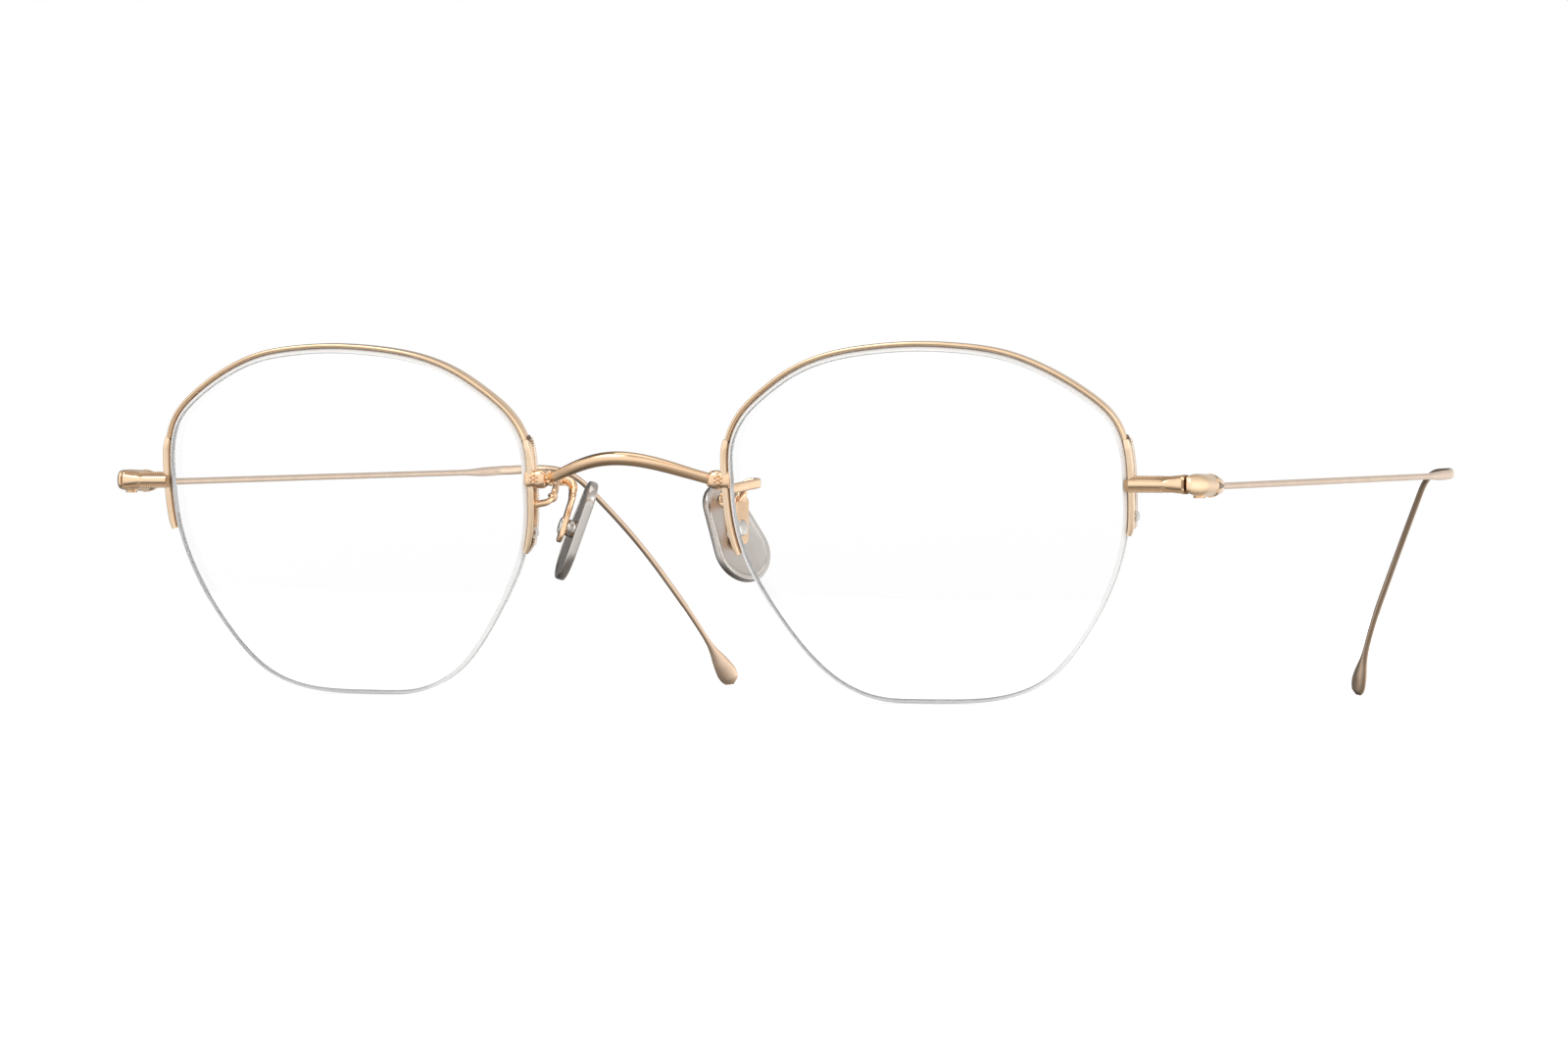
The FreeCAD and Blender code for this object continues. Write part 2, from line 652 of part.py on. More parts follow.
def teardrop(thickness):
    """Plate bounded by a small circle, a large circle and their outer tangents."""
    spread = PAD_LENGTH - PAD_TOP_RADIUS - PAD_BOTTOM_RADIUS
    top_x = -PAD_LENGTH / 2 + PAD_TOP_RADIUS
    bottom_x = top_x + spread
    lean = math.asin((PAD_BOTTOM_RADIUS - PAD_TOP_RADIUS) / spread)
    across = V(-math.sin(lean), math.cos(lean), 0)
    below = V(across.x, -across.y, 0)
    top = V(top_x, 0, 0)
    bottom = V(bottom_x, 0, 0)
    a, b = top + across * PAD_TOP_RADIUS, bottom + across * PAD_BOTTOM_RADIUS
    c, d = bottom + below * PAD_BOTTOM_RADIUS, top + below * PAD_TOP_RADIUS
    wire = Part.Wire([
        Part.LineSegment(a, b).toShape(),
        Part.Arc(b, bottom + V(PAD_BOTTOM_RADIUS, 0, 0), c).toShape(),
        Part.LineSegment(c, d).toShape(),
        Part.Arc(d, top - V(PAD_TOP_RADIUS, 0, 0), a).toShape(),
    ])
    solid = Part.Face(wire).extrude(V(0, 0, thickness))
    solid.translate(V(0, 0, -thickness / 2))
    return solid


def nose_pad():
    normal, long_axis, _ = pad_frame()
    solid = teardrop(PAD_THICKNESS)
    rims = [edge for edge in solid.Edges if abs(abs(edge.CenterOfMass.z) - PAD_THICKNESS / 2) < 0.01]
    solid = solid.makeFillet(PAD_EDGE_ROUND, rims)
    half = PAD_THICKNESS / 2
    boss = Part.makeCylinder(PAD_BOSS_RADIUS, PAD_BOSS_LENGTH + 0.1, V(0, 0, half - 0.1))
    solid = solid.fuse(boss)
    hole = Part.makeCylinder(RIVET_RADIUS + 0.01, PAD_BOSS_LENGTH + 0.4, V(0, 0, half - 0.35))
    return in_pad_frame(solid.cut(hole), normal, long_axis, 0)


def paddle_level():
    """Distance from the middle of the pad to the near face of the arm's paddle."""
    return PAD_THICKNESS / 2 + PAD_BOSS_LENGTH + PAD_PLAY


def pad_rivet():
    normal, long_axis, _ = pad_frame()
    start = PAD_THICKNESS / 2 - 0.33
    seat = paddle_level() + ARM_PADDLE_THICKNESS + PAD_PLAY
    shank = Part.makeCylinder(RIVET_RADIUS, seat - start, V(0, 0, start))
    dome = Part.makeCylinder(RIVET_HEAD_RADIUS, RIVET_HEAD_HEIGHT, V(0, 0, seat))
    rim = [edge for edge in dome.Edges if edge.CenterOfMass.z > seat + RIVET_HEAD_HEIGHT * 0.9]
    dome = dome.makeFillet(RIVET_HEAD_HEIGHT * 0.6, rim)
    return in_pad_frame(shank.fuse(dome).removeSplitter(), normal, long_axis, 0)


def pad_arm():
    normal, _, _ = pad_frame()
    axis = unit(ARM_PADDLE_AXIS)
    axis = axis - normal * axis.dot(normal)
    axis.normalize()
    half = ARM_PADDLE_WIDTH / 2
    thick = ARM_PADDLE_THICKNESS
    length = ARM_PADDLE_UP + ARM_PADDLE_DOWN - 2 * half
    paddle = Part.makeBox(length, 2 * half, thick, V(half - ARM_PADDLE_UP, -half, 0))
    for x in (half - ARM_PADDLE_UP, ARM_PADDLE_DOWN - half):
        paddle = paddle.fuse(Part.makeCylinder(half, thick, V(x, 0, 0)))
    paddle = paddle.cut(Part.makeCylinder(RIVET_RADIUS + RIVET_FIT, 2, V(0, 0, -0.5)))
    paddle = in_pad_frame(paddle, normal, axis, paddle_level())
    middle = V(*PAD_CENTRE) + normal * (paddle_level() + thick / 2)
    neck = middle - axis * (ARM_PADDLE_UP - 0.9)
    route = [V(NASAL_EDGE_X - inset, y, z) for inset, y, z in ARM_ROUTE] + [neck]
    wire = round_wire(route, ARM_RADIUS)
    return largest(wire.fuse(paddle).removeSplitter().cut(rim_envelope()))


# Assembly

def mirror(shape):
    return shape.mirror(V(0, 0, 0), V(1, 0, 0))


def largest(shape):
    """Biggest solid of a shape, without the crumbs that a cut leaves behind."""
    return max(shape.Solids, key=lambda solid: solid.Volume)


def left_side():
    """Every piece of the wearer's left side, by name."""
    return {
        "lens": place_in_front(lens()),
        "upper_rim": place_in_front(upper_rim()),
        "rim_liner": place_in_front(rim_liner()),
        "lens_cord": place_in_front(lens_cord()),
        "temporal_plate": place_in_front(plate(TEMPORAL_TOP, TEMPORAL_BOTTOM, TEMPORAL_LOOP)),
        "nasal_plate": place_in_front(plate(NASAL_TOP, NASAL_BOTTOM, NASAL_LOOP)),
        "end_piece": end_piece(),
        "temple_head": temple_head(),
        "hinge_screw": hinge_screw(),
        "temple_wire": temple_wire(),
        "pad_arm": pad_arm(),
        "nose_pad": nose_pad(),
        "pad_rivet": pad_rivet(),
    }


def make_pieces():
    """All pieces, moved so that the origin is the middle of the table face."""
    pieces = {"bridge": bridge()}
    for name, shape in left_side().items():
        pieces["left_" + name] = shape
        pieces["right_" + name] = mirror(shape)
    box = Part.makeCompound(list(pieces.values())).optimalBoundingBox(False)
    shift = V(-box.Center.x, -box.Center.y, -box.ZMin)
    for name, shape in pieces.items():
        moved = shape.copy()
        moved.translate(shift)
        pieces[name] = moved
    return pieces, shift


def main():
    os.makedirs("parts", exist_ok=True)
    pieces, shift = make_pieces()
    for name, shape in pieces.items():
        shape.exportStep("parts/" + name + ".step")
        print(name, "solids", len(shape.Solids), "volume", round(shape.Volume, 3), shape.isValid())
    print("shift", [round(value, 4) for value in shift])
    return pieces, shift


main()
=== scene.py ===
"""Looks of a pair of half-rim wire eyeglasses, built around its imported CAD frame.

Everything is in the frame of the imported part: +X towards the wearer's left, +Y backwards along
the temples, +Z up, with the spectacles standing on their lenses and temple tips. Sizes are
written in millimetres and turned into metres when a mesh is made.
"""

import json
import logging
import math
from dataclasses import dataclass, field
from enum import Enum
from typing import Sequence

import bmesh
import bpy
import numpy as np
from mathutils import Matrix, Vector


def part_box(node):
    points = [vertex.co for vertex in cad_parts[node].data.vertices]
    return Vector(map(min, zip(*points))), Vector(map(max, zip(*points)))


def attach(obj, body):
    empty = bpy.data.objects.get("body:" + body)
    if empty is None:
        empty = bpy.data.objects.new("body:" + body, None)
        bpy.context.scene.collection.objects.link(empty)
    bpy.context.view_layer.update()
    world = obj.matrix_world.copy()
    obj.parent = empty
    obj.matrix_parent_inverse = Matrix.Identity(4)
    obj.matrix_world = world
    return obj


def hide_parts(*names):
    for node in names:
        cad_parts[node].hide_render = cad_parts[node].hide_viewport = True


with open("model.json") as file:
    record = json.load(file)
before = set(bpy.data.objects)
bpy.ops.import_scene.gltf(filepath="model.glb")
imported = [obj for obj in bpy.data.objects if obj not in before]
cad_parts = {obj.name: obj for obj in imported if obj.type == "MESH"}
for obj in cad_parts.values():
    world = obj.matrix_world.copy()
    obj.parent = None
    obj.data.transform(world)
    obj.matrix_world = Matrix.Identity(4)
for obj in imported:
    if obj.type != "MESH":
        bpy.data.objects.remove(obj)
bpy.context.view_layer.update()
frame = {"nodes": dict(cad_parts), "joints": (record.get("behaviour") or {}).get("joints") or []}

MM = 0.001
UP = (0.0, 0.0, 1.0)
BACKWARDS = (0.0, 1.0, 0.0)
BEAD_LEVELS = ((-0.35, 0.95), (0.25, 0.93), (0.75, 0.6))
"""Rings of a bead, as height and width over its radius."""
NOISE_SPAN = (0.3, 0.7)
"""Range that most values of a noise keep to."""
LOG = logging.getLogger("eyeglasses")

Array = np.ndarray
Triple = tuple[float, float, float]
Material = bpy.types.Material
Socket = bpy.types.NodeSocket
Tree = bpy.types.NodeTree


class Side(Enum):
    """Side of the wearer, with its sign along X."""

    LEFT = 1
    RIGHT = -1

    @property
    def label(self) -> str:
        """Prefix of the names of the pieces on this side."""
        return self.name.lower()


class Slot(Enum):
    """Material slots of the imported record."""

    GOLD = "gold"
    SCREW = "screw"
    PAD = "pad"
    LENS = "lens"
    NYLON = "nylon"


# Small vector helpers

def unit(vector: Sequence[float]) -> Array:
    """Unit vector along a vector."""
    values = np.asarray(vector, float)
    return values / np.linalg.norm(values)


def hinge_place(side: Side) -> Array:
    """Point of a temple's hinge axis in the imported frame.

    Args:
        side: The wearer's side.

    Returns:
        The point, in millimetres.
    """
    name = side.label + "_temple_fold"
    joint = next(j for j in frame["joints"] if j["name"] == name)
    return np.array(joint["pos_m"]) / MM


def around(count: int) -> Array:
    """Angles evenly spaced round a circle."""
    return np.linspace(0, 2 * math.pi, count, endpoint=False)


def superellipse(half_a: float, half_b: float, power: float, count: int = 20) -> Array:
    """Closed section between an ellipse (power 2) and a rectangle (high power).

    Args:
        half_a: Half size along the first axis.
        half_b: Half size along the second axis.
        power: Exponent of the curve.
        count: Number of points.

    Returns:
        Points of the section, one row each.
    """
    turn = around(count)
    c, s = np.cos(turn), np.sin(turn)
    a = half_a * np.sign(c) * np.abs(c) ** (2 / power)
    b = half_b * np.sign(s) * np.abs(s) ** (2 / power)
    return np.stack([a, b], -1)


def rounded_path(points: Sequence[Sequence[float]], step: float, share: float = 0.45) -> Array:
    """Straight runs joined by tangent arcs through a list of points.

    Args:
        points: Corners of the route.
        step: Longest distance between two points of the result.
        share: Share of the shorter run that an arc takes on each side of its corner.

    Returns:
        Points along the route.
    """
    corners = [np.asarray(p, float) for p in points]
    path = [corners[0]]

    def run_to(target: Array) -> None:
        """Adds a straight run.

        Args:
            target: Point where the run ends.
        """
        count = max(1, int(np.linalg.norm(target - path[-1]) / step))
        start = path[-1]
        path.extend(start + (target - start) * (i + 1) / count for i in range(count))

    for before, corner, after in zip(corners, corners[1:], corners[2:]):
        back, ahead = before - corner, after - corner
        setback = share * min(np.linalg.norm(back), np.linalg.norm(ahead))
        back, ahead = unit(back), unit(ahead)
        half_turn = (math.pi - math.acos(float(np.clip(back @ ahead, -1, 1)))) / 2
        radius = setback / math.tan(half_turn)
        centre = corner + unit(back + ahead) * radius / math.cos(half_turn)
        run_to(corner + back * setback)
        first, last = path[-1] - centre, corner + ahead * setback - centre
        count = max(6, int(2 * half_turn * radius / step))
        for blend in np.arange(1, count + 1) / count:
            path.append(centre + unit(first * (1 - blend) + last * blend) * radius)
    run_to(corners[-1])
    return np.array(path)


def tangents(path: Array) -> Array:
    """Unit tangent at each point of an open path."""
    steps = np.gradient(path, axis=0)
    return steps / np.linalg.norm(steps, axis=1)[:, None]


def travelled(path: Array) -> Array:
    """Distance along an open path at each of its points."""
    return np.concatenate([[0], np.cumsum(np.linalg.norm(np.diff(path, axis=0), axis=1))])


# Meshes

@dataclass
class MeshMaker:
    """Collects rings, shells and beads in millimetres and turns them into one mesh."""

    points: list = field(default_factory=list)
    faces: list = field(default_factory=list)
    groups: list = field(default_factory=list)

    def rings(self, rings: Array, groups: Sequence[int] = ()) -> None:
        """Adds a closed skin over a row of rings with equal numbers of points.

        Args:
            rings: Array of shape (rows, points, 3).
            groups: Material index of each strip between two rings; empty means 0.
        """
        rows, count, _ = rings.shape
        strips = list(groups) or [0] * (rows - 1)
        start = len(self.points)
        self.points.extend(rings.reshape(-1, 3).tolist())
        for row in range(rows - 1):
            near, far = start + row * count, start + (row + 1) * count
            for index in range(count):
                right = (index + 1) % count
                self.faces.append([near + index, near + right, far + right, far + index])
                self.groups.append(strips[row])
        for row, group in ((0, strips[0]), (rows - 1, strips[-1])):
            middle, near = len(self.points), start + row * count
            self.points.append(rings[row].mean(axis=0).tolist())
            self.faces.extend([[near + index, near + (index + 1) % count, middle]
                               for index in range(count)])
            self.groups.extend([group] * count)

    def sweep(self, path: Array, across: Array | Sequence[float],
              sections: Array | Sequence[Array], groups: Sequence[int] = ()) -> None:
        """Adds a bar with a changing section along a path.

        Args:
            path: Points of the centre line.
            across: Direction of the section's first axis at each point, or one for all of them;
                it is made square to the path.
            sections: Section at each point, or one array for all of them.
            groups: Material index of each stretch between two points; empty means 0.
        """
        ahead = tangents(path)
        across = np.broadcast_to(np.asarray(across, float), path.shape)
        if isinstance(sections, np.ndarray):
            sections = [sections] * len(path)
        first = across - (across * ahead).sum(1)[:, None] * ahead
        first /= np.linalg.norm(first, axis=1)[:, None]
        second = np.cross(ahead, first)
        rings = [p + s[:, :1] * a + s[:, 1:] * b
                 for p, a, b, s in zip(path, first, second, sections)]
        self.rings(np.array(rings), groups=groups)

    def bead(self, centre: Array, axis: Array, radius: float, height: float = 1.0,
             sides: int = 8) -> None:
        """Adds a domed bead that stands on a surface.

        Args:
            centre: Point of the surface under the bead.
            axis: Direction away from the surface.
            radius: Radius of the bead.
            height: Height as a share of the radius.
            sides: Number of points round the bead.
        """
        axis = unit(axis)
        helper = np.array([0, 0, 1.0]) if abs(axis[2]) < 0.8 else np.array([1.0, 0, 0])
        first = unit(np.cross(axis, helper))
        second = np.cross(axis, first)
        turn = around(sides)
        circle = np.cos(turn)[:, None] * first + np.sin(turn)[:, None] * second
        rings = [centre + circle * radius * wide + axis * radius * height * up
                 for up, wide in BEAD_LEVELS]
        start = len(self.points)
        self.points.extend(np.concatenate(rings).tolist())
        top = len(self.points)
        self.points.append((centre + axis * radius * height).tolist())
        for row in range(len(BEAD_LEVELS) - 1):
            near, far = start + row * sides, start + (row + 1) * sides
            for index in range(sides):
                right = (index + 1) % sides
                self.faces.append([near + index, near + right, far + right, far + index])
                self.groups.append(0)
        last = start + (len(BEAD_LEVELS) - 1) * sides
        self.faces.extend([[last + i, last + (i + 1) % sides, top] for i in range(sides)])
        self.groups.extend([0] * sides)
        self.faces.append([start + i for i in reversed(range(sides))])
        self.groups.append(0)

    def build(self, name: str, side: Side, materials: Sequence[Material],
              crease: float = 40.0) -> bpy.types.Object:
        """Makes the object, mirrored to its side of the wearer.

        Args:
            name: Name of the piece.
            side: Side that the piece is on; shells are collected for the left side.
            materials: Materials by index.
            crease: Angle above which an edge stays sharp, in degrees.

        Returns:
            The new object.
        """
        mesh = bpy.data.meshes.new(name)
        points = np.array(self.points) * MM
        points[:, 0] *= side.value
        mesh.from_pydata(points.tolist(), [], self.faces)
        for index, group in enumerate(self.groups):
            mesh.polygons[index].material_index = group
        work = bmesh.new()
        work.from_mesh(mesh)
        bmesh.ops.recalc_face_normals(work, faces=work.faces)
        work.to_mesh(mesh)
        work.free()
        mesh.polygons.foreach_set("use_smooth", [True] * len(mesh.polygons))
        mesh.set_sharp_from_angle(angle=math.radians(crease))
        for material in materials:
            mesh.materials.append(material)
        piece = bpy.data.objects.new(name, mesh)
        bpy.context.scene.collection.objects.link(piece)
        return piece


def place(piece: bpy.types.Object, body: str, slot: Slot, *nodes: str) -> bpy.types.Object:
    """Puts a piece on its body and hides the CAD nodes it stands for.

    Args:
        piece: The new piece.
        body: CAD body that carries it.
        slot: Material slot of the record; not used.
        nodes: CAD nodes that it replaces.

    Returns:
        The piece.
    """
    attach(piece, body)
    if nodes:
        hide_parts(*nodes)
    LOG.info("piece %s on %s", piece.name, body)
    return piece


# Finishes

class Shader:
    """Small helper that wires the nodes of one material."""

    def __init__(self, name: str) -> None:
        """Makes an empty material with a Principled shader.

        Args:
            name: Name of the material.
        """
        self.material = bpy.data.materials.new(name)
        self.material.use_nodes = True
        self.tree = self.material.node_tree
        self.tree.nodes.clear()
        self.output = self.tree.nodes.new("ShaderNodeOutputMaterial")
        self.surface = self.tree.nodes.new("ShaderNodeBsdfPrincipled")
        self.link(self.surface.outputs["BSDF"], self.output.inputs["Surface"])
        self.coords = self.tree.nodes.new("ShaderNodeTexCoord")

    def link(self, source: Socket, target: Socket) -> None:
        """Links two sockets."""
        self.tree.links.new(source, target)

    def noise(self, scale: float, detail: float = 3.0,
              stretch: Sequence[float] = (1, 1, 1)) -> Socket:
        """Noise over the object's own coordinates.

        Args:
            scale: Features per metre.
            detail: Number of octaves.
            stretch: Scale of the coordinates along each axis.

        Returns:
            The socket with the noise value.
        """
        mapping = self.tree.nodes.new("ShaderNodeMapping")
        mapping.inputs["Scale"].default_value = stretch
        self.link(self.coords.outputs["Object"], mapping.inputs["Vector"])
        node = self.tree.nodes.new("ShaderNodeTexNoise")
        node.inputs["Scale"].default_value = scale
        node.inputs["Detail"].default_value = detail
        self.link(mapping.outputs["Vector"], node.inputs["Vector"])
        return node.outputs["Fac"]

    def tones(self, noise: Socket, deep: Triple, light: Triple,
              span: tuple[float, float] = NOISE_SPAN) -> Socket:
        """Colour that goes from a deep to a light tone over a noise.

        Args:
            noise: Socket with the noise.
            deep: Colour of the low values.
            light: Colour of the high values.
            span: Noise values where the change starts and ends.

        Returns:
            The socket with the colour.
        """
        node = self.tree.nodes.new("ShaderNodeValToRGB")
        for element, position, colour in zip(node.color_ramp.elements, span, (deep, light)):
            element.position, element.color = position, (*colour, 1)
        self.link(noise, node.inputs["Fac"])
        return node.outputs["Color"]

    def spread(self, value: Socket, low: float, high: float) -> Socket:
        """Maps noise to a range of numbers.

        Args:
            value: Socket with the noise.
            low: Lowest result.
            high: Highest result.

        Returns:
            The socket with the mapped value.
        """
        node = self.tree.nodes.new("ShaderNodeMapRange")
        node.inputs["From Min"].default_value = NOISE_SPAN[0]
        node.inputs["From Max"].default_value = NOISE_SPAN[1]
        node.inputs["To Min"].default_value = low
        node.inputs["To Max"].default_value = high
        self.link(value, node.inputs["Value"])
        return node.outputs["Result"]

    def bump(self, height: Socket, depth: float) -> None:
        """Bumps the surface by a height.

        Args:
            height: Socket with the height, from 0 to 1.
            depth: Depth of the bumps in metres.
        """
        node = self.tree.nodes.new("ShaderNodeBump")
        node.inputs["Distance"].default_value = depth
        self.link(height, node.inputs["Height"])
        self.link(node.outputs["Normal"], self.surface.inputs["Normal"])


@dataclass(frozen=True)
class MetalFinish:
    """A plated or bare metal with a faint cloud of tone, fine brush marks and dull spots."""

    name: str
    light: Triple
    deep: Triple
    smoothest: float
    roughest: float
    cloud_scale: float = 380.0
    cloud_span: tuple[float, float] = (0.32, 0.68)
    mark_scale: float = 2600.0
    mark_depth: float = 0.000004
    stretch: Triple = (1.0, 1.0, 1.0)

    def build(self) -> Material:
        """Makes the material.

        Returns:
            The material.
        """
        shader = Shader(self.name)
        surface = shader.surface
        surface.inputs["Metallic"].default_value = 1.0
        clouds = shader.noise(self.cloud_scale, 4.0)
        shader.link(shader.tones(clouds, self.deep, self.light, self.cloud_span),
                    surface.inputs["Base Color"])
        marks = shader.noise(self.mark_scale, 5.0, self.stretch)
        shader.link(shader.spread(marks, self.smoothest, self.roughest),
                    surface.inputs["Roughness"])
        shader.bump(marks, self.mark_depth)
        return shader.material


@dataclass(frozen=True)
class LensFinish:
    """Clear lens plastic with an anti-reflective coating."""

    name: str = "clear_lens"
    tint: Triple = (0.995, 0.998, 0.997)
    index: float = 1.5
    coating: float = 0.12
    smear_scale: float = 60.0
    smear: float = 0.012

    def build(self) -> Material:
        """Makes the material.

        Returns:
            The material.
        """
        shader = Shader(self.name)
        surface = shader.surface
        surface.inputs["Base Color"].default_value = (*self.tint, 1)
        surface.inputs["IOR"].default_value = self.index
        surface.inputs["Specular IOR Level"].default_value = self.coating
        surface.inputs["Transmission Weight"].default_value = 1.0
        shader.link(shader.spread(shader.noise(self.smear_scale), 0.0, self.smear),
                    surface.inputs["Roughness"])
        return shader.material


@dataclass(frozen=True)
class GroundEdgeFinish:
    """Ground edge of a lens, white and dull, with fine grinding lines."""

    name: str = "ground_lens_edge"
    light: Triple = (1.0, 1.0, 0.995)
    deep: Triple = (0.95, 0.95, 0.945)

    def build(self) -> Material:
        """Makes the material.

        Returns:
            The material.
        """
        shader = Shader(self.name)
        surface = shader.surface
        grind = shader.noise(300.0, 2.0, (0.5, 3.0, 0.5))
        shader.link(shader.tones(grind, self.deep, self.light), surface.inputs["Base Color"])
        surface.inputs["IOR"].default_value = 1.5
        surface.inputs["Transmission Weight"].default_value = 0.0
        surface.inputs["Specular IOR Level"].default_value = 0.2
        shader.link(shader.spread(grind, 0.3, 0.45), surface.inputs["Roughness"])
        shader.bump(grind, 0.000001)
        return shader.material


@dataclass(frozen=True)
class NylonFinish:
    """Clear drawn monofilament with faint die lines."""

    name: str = "clear_nylon"
    light: Triple = (0.95, 0.95, 0.94)
    deep: Triple = (0.84, 0.84, 0.83)

    def build(self) -> Material:
        """Makes the material.

        Returns:
            The material.
        """
        shader = Shader(self.name)
        surface = shader.surface
        lines = shader.noise(1400.0, 2.0, (1.0, 4.0, 1.0))
        shader.link(shader.tones(lines, self.deep, self.light), surface.inputs["Base Color"])
        surface.inputs["IOR"].default_value = 1.53
        surface.inputs["Transmission Weight"].default_value = 0.3
        surface.inputs["Specular IOR Level"].default_value = 0.3
        shader.link(shader.spread(lines, 0.08, 0.2), surface.inputs["Roughness"])
        return shader.material


@dataclass
class Finishes:
    """Every material of the spectacles."""

    gold: Material
    # Darker copy of the gold with painted shade, for the bridge and the pad arms.
    bridge_gold: Material
    # Lighter copy of the gold with a painted highlight, for the side plates.
    plate_gold: Material
    temple_gold: Material
    # Dark copy of the gold with painted shade, for the end pieces.
    recess: Material
    # Darkest copy of the gold with painted shade, for the plate notches and feet and the head's
    # rear between the petals.
    groove: Material
    screw: Material
    titanium: Material
    rivet: Material
    lens: Material
    edge: Material
    nylon: Material

    @classmethod
    def build(cls) -> "Finishes":
        """Makes all the materials.

        Returns:
            The finishes.
        """
        metals = (
            MetalFinish("polished_rose_gold", (0.93, 0.70, 0.475), (0.88, 0.63, 0.41), 0.09, 0.17),
            # Darker copy of the gold: painted shade on the bridge and the pad arms.
            MetalFinish("brushed_rose_gold", (0.90, 0.64, 0.42), (0.84, 0.575, 0.365), 0.11, 0.2),
            # Lighter copy of the gold: painted highlight on the side plates.
            MetalFinish("beaded_rose_gold", (0.94, 0.735, 0.53), (0.89, 0.67, 0.46), 0.13, 0.22),
            MetalFinish("satin_rose_wire", (0.82, 0.63, 0.475), (0.74, 0.555, 0.41), 0.16, 0.26,
                        stretch=(4.0, 0.3, 4.0)),
            # Dark copy of the gold: painted shade on the end pieces.
            MetalFinish("recessed_gold", (0.46, 0.30, 0.185), (0.33, 0.21, 0.125), 0.24, 0.36),
            # Darkest copy of the gold: painted shade in notches, at plate feet and between the
            # head's petals.
            MetalFinish("grooved_gold", (0.30, 0.19, 0.115), (0.20, 0.125, 0.072), 0.3, 0.42),
            MetalFinish("screw_gold", (0.80, 0.56, 0.36), (0.66, 0.43, 0.26), 0.2, 0.35),
            MetalFinish("bare_titanium", (0.61, 0.575, 0.545), (0.57, 0.535, 0.505), 0.20, 0.27,
                        cloud_scale=220.0, mark_scale=3000.0, mark_depth=0.0000012),
            MetalFinish("steel_rivet", (0.72, 0.70, 0.67), (0.62, 0.60, 0.57), 0.15, 0.25),
        )
        clear = (LensFinish(), GroundEdgeFinish(), NylonFinish())
        return cls(*(finish.build() for finish in metals + clear))


# The lens shape that the front is built on

